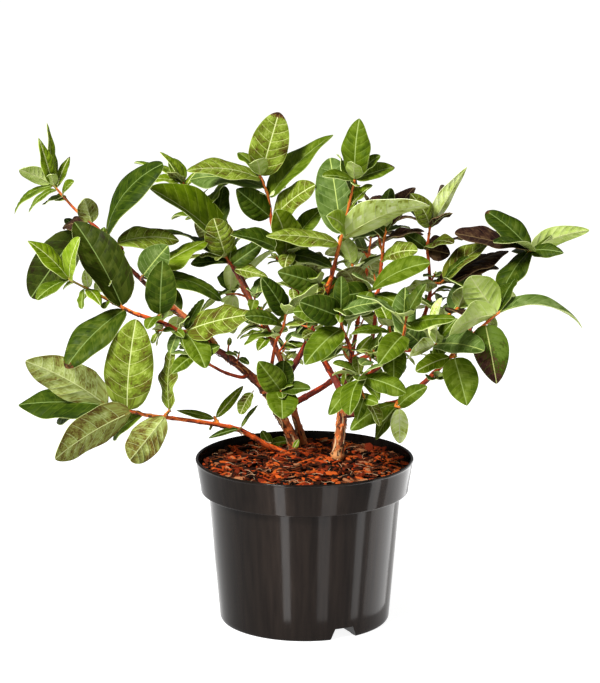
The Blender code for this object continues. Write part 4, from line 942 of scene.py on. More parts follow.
def small_growth(crown, limbs, plan):
    """Finer twigs and small leaves at the nodes of shoots and boughs, where they fit."""
    twigs, leaves = [], []
    rng = random.Random(SEED * 4000)
    for name, (shoot_twigs, shoot_leaves) in plan.items():
        path = shoot_twigs[0][0]
        length = length_of(path)
        count = max(1, round(length / NODE_SPACING))
        for k in range(count):
            fraction = (k + 0.6) / count
            size = rng.uniform(*AXIL_LEAF) * (1.0 if k else 0.8)
            seat, stem = along(path, fraction)
            twist = rng.uniform(0, 360)
            for half in (0, 180):
                side = side_at(stem, math.radians(twist + half))
                spread = math.radians(rng.uniform(*AXIL_SPREAD))
                leaf = rule_leaf(seat, stem, side, spread, size, rng)
                if not leaf_covers_sky(leaf) and crown.fits(name, SHOOTS[name][0], leaf):
                    shoot_leaves.append((leaf, rng.choice(AXIL_SHADES)))
    for name in LEAFY_BOUGHS:
        path = limbs[name][0]
        length = length_of(path)
        for k in range(int(length / NODE_SPACING)):
            fraction = AXIL_TWIG_FROM + AXIL_TWIG_SPAN * k * NODE_SPACING / length
            seat, stem = along(path, fraction)
            side = side_at(stem, rng.uniform(0, 2 * math.pi))
            heading = (stem * rng.uniform(0.3, 0.8) + side + Vector((0, 0, 0.35))).normalized()
            reach = rng.uniform(*AXIL_TWIG)
            owner = f"{name}_{k}"
            twig = [seat, seat + heading * reach * 0.5, seat + heading * reach + Vector((0, 0, 1.0))]
            if covers_sky(twig[1:]) or not crown.twig_fits(owner, twig[1:], [TWIG_TIP_RADIUS] * 2, name):
                continue
            crown.add_twig(owner, twig[1:], [TWIG_TIP_RADIUS] * 2)
            size = rng.uniform(*AXIL_LEAF) * AXIL_TWIG_LEAF
            grown = pairs_on(crown, owner, name, twig, SIDE_TWIG_PAIRS, size, 60 * k, rng)
            twigs.append((twig, AXIL_TWIG_RADII))
            leaves.extend((leaf, rng.choice(AXIL_TWIG_SHADES)) for leaf in grown
                          if not leaf_covers_sky(leaf))
    for root, tip, seen_width, share, shade in LOW_LEAVES:
        leaves.append((aimed_leaf(Vector(root), Vector(tip), seen_width, None, share, rng), shade))
    return twigs, leaves


# Materials: every tone but the pot's streaks is a plain base colour, with gloss and relief from nodes.

def linear(colour, depth):
    return (*(depth * (value / 255) ** 2.2 for value in colour), 1.0)


def fill(node, **values):
    """Sets a node's inputs; an underscore stands for a space in a socket's name."""
    for socket, value in values.items():
        node.inputs[socket.replace("_", " ")].default_value = value


def noise_node(tree, kind, scale, stretch):
    """A noise or cell texture in the object's own metres."""
    where = tree.nodes.new("ShaderNodeTexCoord")
    mapping = tree.nodes.new("ShaderNodeMapping")
    fill(mapping, Scale=stretch)
    texture = tree.nodes.new(kind)
    fill(texture, Scale=scale)
    tree.links.new(where.outputs["Object"], mapping.inputs["Vector"])
    tree.links.new(mapping.outputs["Vector"], texture.inputs["Vector"])
    return texture


def uneven_gloss(tree, shader, texture, low, high):
    spread = tree.nodes.new("ShaderNodeMapRange")
    fill(spread, From_Min=NOISE_LOW, From_Max=NOISE_HIGH, To_Min=low, To_Max=high)
    tree.links.new(texture.outputs[0], spread.inputs["Value"])
    tree.links.new(spread.outputs["Result"], shader.inputs["Roughness"])


def relief(tree, shader, texture, depth, strength):
    bump = tree.nodes.new("ShaderNodeBump")
    fill(bump, Distance=depth * MM, Strength=strength)
    tree.links.new(texture.outputs[0], bump.inputs["Height"])
    tree.links.new(bump.outputs["Normal"], shader.inputs["Normal"])


def finished_material(name, colour, kind):
    """A material of one of the kinds in FINISHES."""
    gloss_scale, low, high, relief_kind, relief_scale, depth, strength, shine, stretch = FINISHES[kind]
    material = bpy.data.materials.new(name)
    material.use_nodes = True
    tree = material.node_tree
    shader = tree.nodes["Principled BSDF"]
    fill(shader, Base_Color=linear(colour, DEPTHS[kind]), Specular_IOR_Level=shine)
    uneven_gloss(tree, shader, noise_node(tree, "ShaderNodeTexNoise", gloss_scale, stretch), low, high)
    relief(tree, shader, noise_node(tree, relief_kind, relief_scale, stretch), depth, strength)
    return material


def add_ramp_tones():
    """The steps of each ramp of leaf tones, and the bark tones' painted-shade, plain and painted-light
    copies.
    """
    for name, colours in RAMPS.items():
        stops = np.linspace(0, RAMP_STEPS - 1, len(colours))
        for step in range(RAMP_STEPS):
            colour = [float(np.interp(step, stops, part)) for part in zip(*colours)]
            TONES[f"{name}_{step}"] = (colour, "leaf")
    for stage, colour in enumerate(BARK_TONES):
        # a darker copy with painted shade, a plain one and a lighter copy with painted light
        for side, painted_lightness in enumerate(BARK_PAINTED_LIGHT):
            TONES[f"bark_{stage}_{side}"] = ([min(255.0, part * painted_lightness) for part in colour], "bark")


def tone_material(tone):
    if tone not in bpy.data.materials:
        colour, kind = TONES[tone]
        finished_material(tone, colour, kind)
    return bpy.data.materials[tone]


class Build:
    """Gathers points, faces and their tones, and makes one piece of them."""

    def __init__(self):
        self.points = []
        self.faces = []
        self.tones = []
        self.count = 0

    def add(self, points, faces, tones):
        start = self.count
        self.points.append(np.asarray(points, float))
        self.faces += [tuple(i + start for i in face) for face in faces]
        self.tones += tones
        self.count += len(points)

    def piece(self, name, slot, sharp, replaced=()):
        mesh = bpy.data.meshes.new(name)
        mesh.from_pydata((np.concatenate(self.points) * MM).tolist(), [], self.faces)
        used = sorted(set(self.tones))
        place = {tone: i for i, tone in enumerate(used)}
        for tone in used:
            mesh.materials.append(tone_material(tone))
        mesh.polygons.foreach_set("material_index", [place[tone] for tone in self.tones])
        mesh.shade_smooth()
        mesh.set_sharp_from_angle(angle=math.radians(sharp))
        dressed(linked(name, mesh), slot, replaced)


def linked(name, data):
    obj = bpy.data.objects.new(name, data)
    bpy.context.scene.collection.objects.link(obj)
    return obj


def dressed(obj, slot, replaced=()):
    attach(obj, "root")
    if replaced:
        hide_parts(*replaced)


def grain(point, scale, offset=0.0):
    """Smooth noise from about -1 to 1 at a point in millimetres."""
    return noise.noise(Vector(point) * scale + Vector((offset, offset, offset)))


# Tubes

def sweep(path, radii, sides):
    """The points of a tube as rings, and its closed faces."""
    path = np.array([tuple(p) for p in path])
    ahead = np.gradient(path, axis=0)
    ahead /= np.linalg.norm(ahead, axis=1)[:, None]
    u = np.array(any_side(Vector(ahead[0])))
    angles = np.linspace(0, 2 * math.pi, sides, endpoint=False)
    rings = np.empty((len(path), sides, 3))
    for i, forward in enumerate(ahead):
        u = u - forward * u.dot(forward)
        u /= np.linalg.norm(u)
        v = np.cross(forward, u)
        spokes = np.outer(np.cos(angles), u) + np.outer(np.sin(angles), v)
        rings[i] = path[i] + spokes * np.reshape(radii[i], (-1, 1))
    faces = []
    for i in range(len(path) - 1):
        a = i * sides
        faces += [(a + k, a + (k + 1) % sides, a + sides + (k + 1) % sides, a + sides + k)
                  for k in range(sides)]
    faces.append(tuple(range(sides))[::-1])
    last = (len(path) - 1) * sides
    faces.append(tuple(range(last, last + sides)))
    return rings.reshape(-1, 3), faces


def lengths_of(path):
    spans = [(b - a).length for a, b in zip(path, path[1:])]
    return np.concatenate([[0.0], np.cumsum(spans)])


def into_parent(parent, path):
    """A limb's path drawn on into the middle of what it grows from."""
    foot = nearest_on(*parent, path[0])[1]
    back = (foot - path[0])
    if back.length < 1.0:
        back = (path[0] - path[1]).normalized() * 2.0
    return [path[0] + back] + path


def bark_tube(build, path, radii, tones, kind, swellings, offset, flare=0.0, streaks=0.8):
    """A limb or twig with swollen nodes, ridged bark, streaks between two tones, and painted light and
    shade.
    """
    sides, step, ridge = BARK_DETAIL[kind]
    lengths = lengths_of(path)
    fine = smooth_path(path, step)
    fine_lengths = lengths_of(fine)
    share = fine_lengths / fine_lengths[-1]
    girth = np.interp(share, lengths / lengths[-1], radii)
    for at, size in swellings:
        girth = girth * (1 + size * np.exp(-((fine_lengths - at) / NODE_LENGTH) ** 2))
    girth = girth * (1 + flare * np.exp(-fine_lengths / COLLAR_LENGTH))
    angles = np.linspace(0, 2 * math.pi, sides, endpoint=False)
    rough = np.empty((len(fine), sides))
    for i, run in enumerate(fine_lengths):
        for k, angle in enumerate(angles):
            spot = (math.cos(angle) * 1.6, math.sin(angle) * 1.6, run * 0.09)
            rough[i, k] = 0.9 * grain(spot, 1.0, offset) + 0.7 * grain(spot, 2.9, offset)
    points, faces = sweep(fine, girth[:, None] * (1 + ridge * rough), sides)
    rings = points.reshape(len(fine), sides, 3)
    # How far each face turns up, which picks its copy of painted shade, plain or painted light; random
    # streaks mix in.
    upward = (rings - rings.mean(axis=1, keepdims=True))[:, :, 2] / girth[:, None]
    marks = []
    for i in range(len(fine) - 1):
        level = tones[0] + (tones[1] - tones[0]) * share[i]
        marks += [bark_tone_with_painted_light(level + 0.9 * rough[i, k], 1.0 + 0.9 * upward[i, k] + streaks * rough[i, k])
                  for k in range(sides)]
    build.add(points, faces, marks + [bark_tone_with_painted_light(tones[0], 1), bark_tone_with_painted_light(tones[1], 1)])


def bark_tone_with_painted_light(level, side):
    """The tone at a place in BARK_TONES, in its copy with painted shade (0), plain (1) or with painted
    light (2).
    """
    stage = min(len(BARK_TONES) - 1, max(0, round(level)))
    return f"bark_{stage}_{min(2, max(0, round(side)))}"


def bud(build, root, direction, length, tone):
    """A small pointed bud of scales."""
    path = [root + direction * length * s for s in (0.0, 0.25, 0.55, 0.85, 1.0)]
    radii = [[length * r] * 6 for r in (0.16, 0.27, 0.25, 0.13, 0.03)]
    points, faces = sweep(path, radii, 6)
    build.add(points, faces, [tone] * len(faces))


def peeling_strip(build, path, radii, start, reach, angle, width, tone, rng):
    """A thin strip of old bark that lies along a stem with its edges and ends lifted."""
    lengths = lengths_of(path)
    rows = []
    for i in range(STRIP_STEPS):
        s = i / (STRIP_STEPS - 1)
        at = (start + reach * s) / lengths[-1]
        point, forward = along(path, at)
        radius = float(np.interp(at, lengths / lengths[-1], radii))
        u = any_side(forward)
        v = forward.cross(u)
        turn = angle + 0.25 * math.sin(3 * s)
        lift = 0.12 + STRIP_LIFT * (2 * s - 1) ** 4 * rng.uniform(0.6, 1.2)
        half = width * 0.5 * math.sin(math.pi * (0.12 + 0.76 * s))
        row = []
        for t, more in ((-1, 0.25), (0, 0.0), (1, 0.25)):
            out = spoke(u, v, turn + t * half / radius)
            outer = radius + lift + more
            row.append((point + out * outer, point + out * (outer - STRIP_THICKNESS)))
        rows.append(row)
    points = [tuple(pair[side]) for side in (0, 1) for row in rows for pair in row]
    shell(build, points, STRIP_STEPS, 3, lambda i, j, under: tone)


def shell(build, points, rows, columns, tone_at):
    """A thin closed sheet from an upper and a lower grid of points; tone_at(row, column, under)."""
    half = rows * columns
    faces, tones = [], []
    for under in (False, True):
        for i in range(rows - 1):
            for j in range(columns - 1):
                a = i * columns + j + (half if under else 0)
                face = (a, a + 1, a + columns + 1, a + columns)
                faces.append(face[::-1] if under else face)
                tones.append(tone_at(i, j, under))
    for i in range(rows - 1):
        a, b = i * columns, (i + 1) * columns
        faces.append((a, b, b + half, a + half))
        a, b = a + columns - 1, b + columns - 1
        faces.append((a, a + half, b + half, b))
    for j in range(columns - 1):
        faces.append((j, j + half, j + 1 + half, j + 1))
        a = (rows - 1) * columns + j
        faces.append((a, a + 1, a + 1 + half, a + half))
    tones += [tone_at(0, 0, None)] * (len(faces) - len(tones))
    build.add(points, faces, tones)


# Leaves

def blade_width(s, width, shape):
    """Half the blade's width along it; the shape's two powers round its base and its tip."""
    base, tip = shape
    peak = base / (base + tip)
    return width / 2 * s ** base * (1 - s) ** tip / (peak ** base * (1 - peak) ** tip)


def blade_rows(length, veins, between):
    """The rows of a blade from stalk to tip, as (place, puff, True on a side vein)."""
    rows = [(0.0005, 0.0, False), (0.006, 0.0, False), (0.025, 0.1, False), (0.05, 0.3, False)]
    for k in range(veins):
        at = VEINS_FROM + VEINS_SPAN * (k + 0.5) / veins
        half = VEIN_WIDTH / 2 / length
        rows += [(at - half, 0.0, True), (at + half, 0.0, False)]
        for i in range(between):
            share = (i + 1) / (between + 1)
            rows.append((at + VEINS_SPAN * share / veins, math.sin(math.pi * share) ** 0.6, False))
    last = rows[-1][0]
    rows += [(last + (0.997 - last) * share, 0.15, False) for share in (0.4, 0.7, 0.88, 1.0)]
    return rows


def blade(build, leaf, shade, rng):
    """One leaf: a stalk and rib, and a thin folded blade that puffs up between its sunken veins."""
    root, direction, normal, length, width, bend = leaf
    upper, lower, rib_tone, vein = SHADE_TONES[shade.upper()]
    spotted = shade.upper() in MOTTLED
    finer = 2 if shade.upper() in FINELY_MOTTLED and length > 24 and root[1] < FINE_REACH else 1
    ahead, up = np.array(direction), np.array(normal)
    across = np.cross(ahead, up)
    stalk = min(0.15, STALK_LENGTH / length)
    veins, between, inner = next(row[1:] for row in BLADE_DETAIL if length > row[0])
    rows = blade_rows(length, veins, between * finer)
    width = width * WIDER
    u = np.array([row[0] for row in rows])[:, None]
    puff = np.array([row[1] for row in rows])[:, None]
    sharper = max(0.0, NARROW - width / length) * 1.5
    shape = (rng.uniform(*BASE_SHAPE), rng.uniform(*TIP_SHAPE) + sharper)
    here = np.maximum(blade_width(u, width, shape), 0.2)
    rib = np.minimum(0.3, RIB_WIDTH / 2 / here)
    rim = 1 - np.minimum(0.25, EDGE_WIDTH / here)
    inner *= finer
    half_row = [rib] + [rib + (rim - rib) * k / (inner + 1) for k in range(1, inner + 1)]
    half_row += [rim, np.ones_like(rib)]
    t = np.concatenate([-column for column in half_row[::-1]] + half_row, axis=1)
    s = u ** (1 - VEIN_ARC * np.abs(t) ** 1.15)
    x = t * blade_width(s, width, shape)
    fold = math.tan(math.radians(LEAF_FOLD + rng.uniform(*FOLD_CHANGE)))
    phase = rng.uniform(0, 2 * math.pi)
    waves = rng.uniform(*WAVES)
    wave = rng.uniform(*WAVE_HEIGHT) * width
    curl = rng.uniform(*CURL) * width
    raised = (fold * np.abs(x) * (1 - 0.45 * s) - curl * np.abs(t) ** 3 * np.abs(x) / (width / 2)
              + wave * np.sin(2 * np.pi * waves * s + phase + (t > 0) * 1.9) * t ** 2 * np.sin(np.pi * s)
              + PUFF * puff * (4 * np.abs(t) * (1 - np.abs(t))) ** 0.7 - GROOVE * (np.abs(t) <= rib + 1e-6))
    reach = stalk + (1 - stalk) * s
    angle = bend * reach
    twist = rng.uniform(-TWIST, TWIST) * reach
    root = np.array(root)
    rise, run = np.sin(angle)[..., None], np.cos(angle)[..., None]
    roll, level = np.sin(twist)[..., None], np.cos(twist)[..., None]
    middle = root + (rise * ahead - (1 - run) * up) * (length / bend)
    up_here = run * up + rise * ahead
    side = level * across + roll * up_here
    top = level * up_here - roll * across
    upper_points = middle + side * x[..., None] + top * raised[..., None]
    lower_points = upper_points - top * BLADE_THICKNESS
    columns = t.shape[1]
    offset = rng.uniform(0, 100)
    dried = rng.uniform(*DRY_FROM) if shade.islower() else math.inf
    middle_column = (columns - 1) // 2
    own = rng.uniform(-OWN_LEVEL, OWN_LEVEL)

    def tone_at(i, j, under):
        if under is None:
            return lower + "_0"
        spot_here = upper_points[i, j]
        fine = grain(spot_here, SPOT_SIZES[spotted], offset)
        if s[i, j] + 0.06 * fine > dried:
            return "dry_a" if fine > 0 else "dry_b"
        if j in (0, columns - 2) and not under:
            return upper + "_0"
        if j == middle_column:
            return "vein_pale" if under else rib_tone
        if rows[i][2] and abs(t[i, j]) < 0.9:
            return "under_vein" if under else vein
        mottle = 0.8 * grain(spot_here, CLOUD_SIZE, offset) + 0.6 * fine
        level = 0.5 + own - MOTTLE[spotted] * mottle + MARGIN_DARKER * (abs(t[i, j]) - 0.45)
        if shade == "W":
            level += WITHER * (s[i, j] - 0.5) + 0.5 * t[i, j]
        step = min(RAMP_STEPS - 1, max(0, int(level * RAMP_STEPS)))
        return f"{lower if under else upper}_{step}"

    points = np.concatenate([upper_points.reshape(-1, 3), lower_points.reshape(-1, 3)])
    shell(build, points, len(rows), columns, tone_at)
    line = np.linspace(0.0, RIB_END, 9)
    rise, run = np.sin(bend * line)[:, None], np.cos(bend * line)[:, None]
    below = np.where(line > stalk, BLADE_THICKNESS + 0.1, 0.0)[:, None]
    middle = root + (rise * ahead - (1 - run) * up) * (length / bend)
    middle -= (run * up + rise * ahead) * below
    thick = STALK_RADIUS * (0.7 + 0.3 * min(1.0, length / 45))
    radii = np.interp(line, [0, stalk, RIB_END], [thick, thick * 0.75, 0.12])[:, None] * np.ones(5)
    points, faces = sweep([Vector(p) for p in middle], radii, 5)
    tones = ["stalk" if k < 5 else "vein_pale" for k in range(len(faces))]
    build.add(points, faces, tones)


# Pieces

def dress_limbs(limbs):
    """Each stem and bough: ridged bark, swollen nodes with bud scars and, low down, peeling strips."""
    for index, (name, (path, radii)) in enumerate(limbs.items()):
        rng = random.Random(SEED * 5000 + index)
        parent = LIMBS[name][0]
        build = Build()
        if parent is None:
            start = path[0] - (path[1] - path[0]).normalized() * 4.0
            line, girth = [start] + path, [radii[0]] + radii
        else:
            line, girth = into_parent(limbs[parent], path), [radii[0]] + radii
        total = lengths_of(line)[-1]
        nodes = []
        at = rng.uniform(*FIRST_NODE)
        while at < total - 6:
            nodes.append((at, rng.uniform(*NODE_SWELLING)))
            at += rng.uniform(*BOUGH_NODE_GAP)
        flare = 0.0 if parent is None else COLLAR_FLARE
        bark_tube(build, line, girth, LIMB_TONES.get(name, OTHER_TONES), "limb", nodes, index * 7.3,
                  flare, STREAKS.get(name, OTHER_STREAKS))
        for at, _ in nodes:
            point, forward = along(line, at / total)
            radius = float(np.interp(at, lengths_of(line), girth))
            turn = rng.uniform(0, 2 * math.pi)
            for half in (0, math.pi):
                out = side_at(forward, turn + half)
                bud(build, point + out * radius * 0.8, (out * 0.7 + forward).normalized(),
                    rng.uniform(*LIMB_BUD), rng.choice(("bud_brown", "strip_dark")))
        for reach_from, reach_to, count in PEELING.get(name, ()):
            for _ in range(count):
                length = rng.uniform(*STRIP_LENGTH)
                peeling_strip(build, line, girth, total * rng.uniform(reach_from, reach_to), length,
                              rng.uniform(0, 2 * math.pi), rng.uniform(*STRIP_WIDTH),
                              rng.choice(STRIP_TONES), rng)
        build.piece("bark_" + name, "bark", TUBE_SHARP, (name,))


def dress_shoot(index, name, twigs, leaves, limbs):
    """One leafy mass: a piece of twigs with buds, and a piece of leaves."""
    rng = random.Random(SEED * 6000 + index)
    limb = SHOOTS[name][0]
    foot_tone = LIMB_TONES.get(limb, OTHER_TONES)[1]
    stems = Build()
    for k, (path, radii) in enumerate(twigs):
        line = into_parent(limbs[limb], path) if k == 0 else path
        girth = [radii[0]] + list(radii) if k == 0 else list(radii)
        total = lengths_of(line)[-1]
        swellings = [(total * s, TWIG_SWELLING) for s in TWIG_NODES]
        tones = (foot_tone, SHOOT_TIP_TONE.get(name, 6))
        bark_tube(stems, line, girth, tones, "twig", swellings, index * 3.1 + k, TWIG_FLARE)
        end, forward = along(line, 1.0)
        bud(stems, end - forward * 0.8, forward, TIP_BUD, "bud_green")
        for share in TWIG_NODES:
            point, forward = along(line, share)
            out = side_at(forward, rng.uniform(0, 2 * math.pi))
            for side in (out, -out):
                bud(stems, point + side * 0.7, (side + forward).normalized(), rng.uniform(*TWIG_BUD),
                    rng.choice(("bud_green", "bud_brown", "bud_brown")))
    stems.piece("twigs_" + name, "bark", TUBE_SHARP, ("leaves_" + name,))
    if leaves:
        blades = Build()
        for leaf, shade in leaves:
            blade(blades, leaf, shade, rng)
        slot = BLADE_SLOTS.get(name, "foliage")
        blades.piece("blades_" + name, slot, BLADE_SHARP, ("leaves_" + name,))


def dress_small_growth(twigs, leaves):
    rng = random.Random(SEED * 7000)
    stems = Build()
    for k, (path, radii) in enumerate(twigs):
        bark_tube(stems, path, radii, (5, 6), "fine_twig", [], 50 + k, TWIG_FLARE)
        bud(stems, path[-1], (path[-1] - path[-2]).normalized(), FINE_TIP_BUD, "bud_green")
    stalk = [Vector(point) for point in BERRY_STALK]
    bark_tube(stems, stalk, [0.7, 0.5, 0.5], (4, 4), "stalk", [], 90)
    radius, length = BERRY_SIZE
    line = [stalk[-1] - Vector((0, 0, length * s)) for s in (0.0, 0.2, 0.5, 0.8, 1.0)]
    points, faces = sweep(line, [[radius * r] * 10 for r in (0.35, 0.85, 1.0, 0.7, 0.2)], 10)
    stems.add(points, faces, ["berry_dark"] * len(faces))
    stems.piece("twigs_on_boughs", "bark", TUBE_SHARP)
    blades = Build()
    for leaf, shade in leaves:
        blade(blades, leaf, shade, rng)
    blades.piece("blades_on_boughs", "foliage", BLADE_SHARP)


# Pot

def apply_modifiers(obj):
    """Put the evaluated mesh in the place of the modifiers."""
    bpy.context.view_layer.update()
    mesh = bpy.data.meshes.new_from_object(obj.evaluated_get(bpy.context.evaluated_depsgraph_get()))
    obj.modifiers.clear()
    obj.data = mesh


def wall_line():
    """The inside of the pot from its floor to the lip: (radius, height)."""
    slope_top = POT_HEIGHT - BAND_HEIGHT
    return [(BASE_RADIUS - WALL - 1.2, FLOOR), (BASE_RADIUS - WALL, FLOOR + 1.6),
            (BODY_TOP_RADIUS - WALL, slope_top - 1.0), (BODY_TOP_RADIUS - WALL + 0.4, slope_top + 0.6),
            (BAND_FOOT_RADIUS - WALL, slope_top + 2.0), (RIM_RADIUS - WALL - 0.4, POT_HEIGHT - 1.0)]


def turned(name, profile):
    """A body turned round the Z axis from a profile of (radius, height) points."""
    mesh = bpy.data.meshes.new(name)
    spots = [(r * MM, 0.0, z * MM) for r, z in profile]
    mesh.from_pydata(spots, [(i, i + 1) for i in range(len(spots) - 1)], [])
    obj = linked(name, mesh)
    screw = obj.modifiers.new("turn", "SCREW")
    screw.steps = POT_STEPS
    screw.render_steps = POT_STEPS
    screw.use_merge_vertices = True
    screw.merge_threshold = 0.00001
    return obj


def drain_block(name, grow, inner, outer, low, angle):
    """A block with sloping sides, for a drain at the pot's foot, grown by a margin."""
    mesh = bpy.data.meshes.new(name)
    form = bmesh.new()
    bmesh.ops.create_cube(form, size=1.0)
    for vert in form.verts:
        z = DRAIN_HEIGHT + grow if vert.co.z > 0 else low
        narrowing = (DRAIN_FOOT_WIDTH - DRAIN_TOP_WIDTH) / 2 * z / DRAIN_HEIGHT
        width = DRAIN_FOOT_WIDTH / 2 - narrowing + grow
        x = outer if vert.co.x > 0 else inner
        vert.co = Vector((x, math.copysign(width, vert.co.y), z)) * MM
    form.to_mesh(mesh)
    form.free()
    obj = linked(name, mesh)
    obj.rotation_euler.z = math.radians(angle)
    return obj


def boolean(obj, tool, operation):
    step = obj.modifiers.new(operation.lower(), "BOOLEAN")
    step.operation = operation
    step.object = tool
    step.solver = "EXACT"


def streaked(material):
    """Faint upright streaks in the pot's plastic."""
    dark, light, scale, stretch = POT_STREAKS
    tree = material.node_tree
    ramp = tree.nodes.new("ShaderNodeValToRGB")
    for element, place, colour in zip(ramp.color_ramp.elements, (NOISE_LOW, NOISE_HIGH), (dark, light)):
        element.position = place
        element.color = linear(colour, DEPTHS["plastic"])
    texture = noise_node(tree, "ShaderNodeTexNoise", scale, stretch)
    tree.links.new(texture.outputs[0], ramp.inputs["Fac"])
    tree.links.new(ramp.outputs["Color"], tree.nodes["Principled BSDF"].inputs["Base Color"])
    return material


def dress_pot():
    band_foot = POT_HEIGHT - BAND_HEIGHT
    lip_x, lip_z = RIM_RADIUS - LIP_ROUND, POT_HEIGHT - LIP_ROUND
    lip = [(lip_x + LIP_ROUND * math.cos(a), lip_z + LIP_ROUND * math.sin(a))
           for a in np.linspace(math.pi * 0.95, -0.35 * math.pi, 13)]
    outside = lip + [(RIM_RADIUS - 0.9, POT_HEIGHT - 3.2), (RIM_RADIUS - 1.0, POT_HEIGHT - 5.0),
                     (BAND_FOOT_RADIUS + 0.1, band_foot + 2.6), (BAND_FOOT_RADIUS + 0.25, band_foot + 1.4),
                     (BAND_FOOT_RADIUS, band_foot + 0.5), (BAND_FOOT_RADIUS - 0.6, band_foot),
                     (BAND_FOOT_RADIUS - 1.6, band_foot - 0.1), (BODY_TOP_RADIUS + 1.4, band_foot - 0.3),
                     (BODY_TOP_RADIUS + 0.4, band_foot - 0.9), (BODY_TOP_RADIUS, band_foot - 2.2),
                     (BASE_RADIUS + 0.6, 4.0), (BASE_RADIUS + 0.4, 1.8), (BASE_RADIUS - 0.2, 0.6),
                     (BASE_RADIUS - 1.4, 0.0), (BASE_RADIUS - 9.0, 0.0), (BASE_RADIUS - 10.0, 0.5),
                     (0.0, 0.5)]
    profile = [(0.0, FLOOR)] + wall_line()[:-1] + outside
    pot = turned("pot_shell", profile)
    cutters = []
    for k in range(DRAINS):
        angle = FIRST_DRAIN_ANGLE + 360.0 / DRAINS * k
        housing = drain_block(f"housing_{k}", WALL, DRAIN_INNER_RADIUS - WALL, BASE_RADIUS - 2.0, 1.0,
                              angle)
        opening = drain_block(f"opening_{k}", 0.0, DRAIN_INNER_RADIUS, BASE_RADIUS + 12.0, -2.0, angle)
        boolean(pot, housing, "UNION")
        boolean(pot, opening, "DIFFERENCE")
        cutters += [housing, opening]
    apply_modifiers(pot)
    for cutter in cutters:
        bpy.data.objects.remove(cutter, do_unlink=True)
    pot.data.materials.clear()
    pot.data.materials.append(streaked(tone_material("pot_black")))
    pot.data.shade_smooth()
    pot.data.set_sharp_from_angle(angle=math.radians(POT_SHARP))
    dressed(pot, "pot_plastic", ("pot",))


# Mulch

def mulch_height(x, y):
    """The mulch's surface: a low mound with lumps."""
    share = min(1.0, math.hypot(x, y) / MULCH_RADIUS)
    return MULCH_EDGE + MULCH_RISE * (1 - share ** 2) + 0.9 * grain((x, y, 0), 0.09)


def on_circle(radius, angle):
    return radius * math.cos(angle), radius * math.sin(angle)


def dress_mulch():
    """A lumpy bed, and on it bark chips and fibres."""
    bed = Build()
    rings, spokes = BED_RINGS, BED_SPOKES
    points = [(0.0, 0.0, mulch_height(0, 0) - BED_DEPTH)]
    for i in range(1, rings + 1):
        radius = MULCH_RADIUS * i / rings
        for k in range(spokes):
            x, y = on_circle(radius, 2 * math.pi * (k + 0.5 * (i % 2)) / spokes)
            rough = 0.8 * grain((x, y, 5), 0.35) + 0.4 * grain((x, y, 9), 0.9)
            points.append((x, y, mulch_height(x, y) - BED_DEPTH + rough))
    foot = MEDIUM_TOP - MEDIUM_EDGE_DROP - 1.0
    points += [(*on_circle(MULCH_RADIUS, 2 * math.pi * k / spokes), foot) for k in range(spokes)]
    faces = [(0, 1 + k, 1 + (k + 1) % spokes) for k in range(spokes)]
    for i in range(rings):
        a = 1 + i * spokes
        for k in range(spokes):
            n = (k + 1) % spokes
            faces.append((a + k, a + spokes + k, a + spokes + n, a + n))
    faces.append(tuple(range(1 + rings * spokes, 1 + (rings + 1) * spokes))[::-1])
    rng = random.Random(SEED * 8000)
    tones = [rng.choice(("soil_dark", "soil_dark", "soil_brown")) for _ in faces]
    bed.add(points, faces, tones)
    bed.piece("mulch_bed", "bark_mulch", 180)
    chips = Build()
    feet = [Vector(row[3][0]).to_2d() for row in LIMBS.values() if row[0] is None]
    for _ in range(CHIPS):
        x, y = on_circle(CHIP_REACH * math.sqrt(rng.random()), rng.uniform(0, 2 * math.pi))
        if min((Vector((x, y)) - foot).length for foot in feet) < CLEAR_OF_STEMS:
            continue
        length = rng.uniform(*(LONG_CHIP if rng.random() < LONG_CHIPS else SHORT_CHIP))
        centre = Vector((x, y, mulch_height(x, y) + rng.uniform(*CHIP_SETTLE)))
        chip(chips, centre, length, length * rng.uniform(*CHIP_WIDTH), rng.uniform(*CHIP_THICKNESS), rng)
    chips.piece("mulch_chips", "bark_mulch", CHIP_SHARP)
    fibres = Build()
    for _ in range(FIBRES):
        x, y = on_circle(CHIP_REACH * 0.97 * math.sqrt(rng.random()), rng.uniform(0, 2 * math.pi))
        heading = rng.uniform(0, 2 * math.pi)
        bend = rng.uniform(-FIBRE_BEND, FIBRE_BEND)
        length = rng.uniform(*FIBRE_LENGTH)
        line = []
        for i in range(FIBRE_POINTS):
            line.append(Vector((x, y, mulch_height(x, y) + 1.6 + 0.8 * math.sin(i))))
            heading += bend * 2
            x += math.cos(heading) * length / (FIBRE_POINTS - 1)
            y += math.sin(heading) * length / (FIBRE_POINTS - 1)
            if math.hypot(x, y) > CHIP_REACH:
                break
        if len(line) > 3:
            radii = [[0.24 - 0.02 * i] * 5 for i in range(len(line))]
            points, faces = sweep(line, radii, 5)
            fibres.add(points, faces, [rng.choice(FIBRE_TONES)] * len(faces))
    fibres.piece("mulch_fibres", "bark_mulch", TUBE_SHARP)


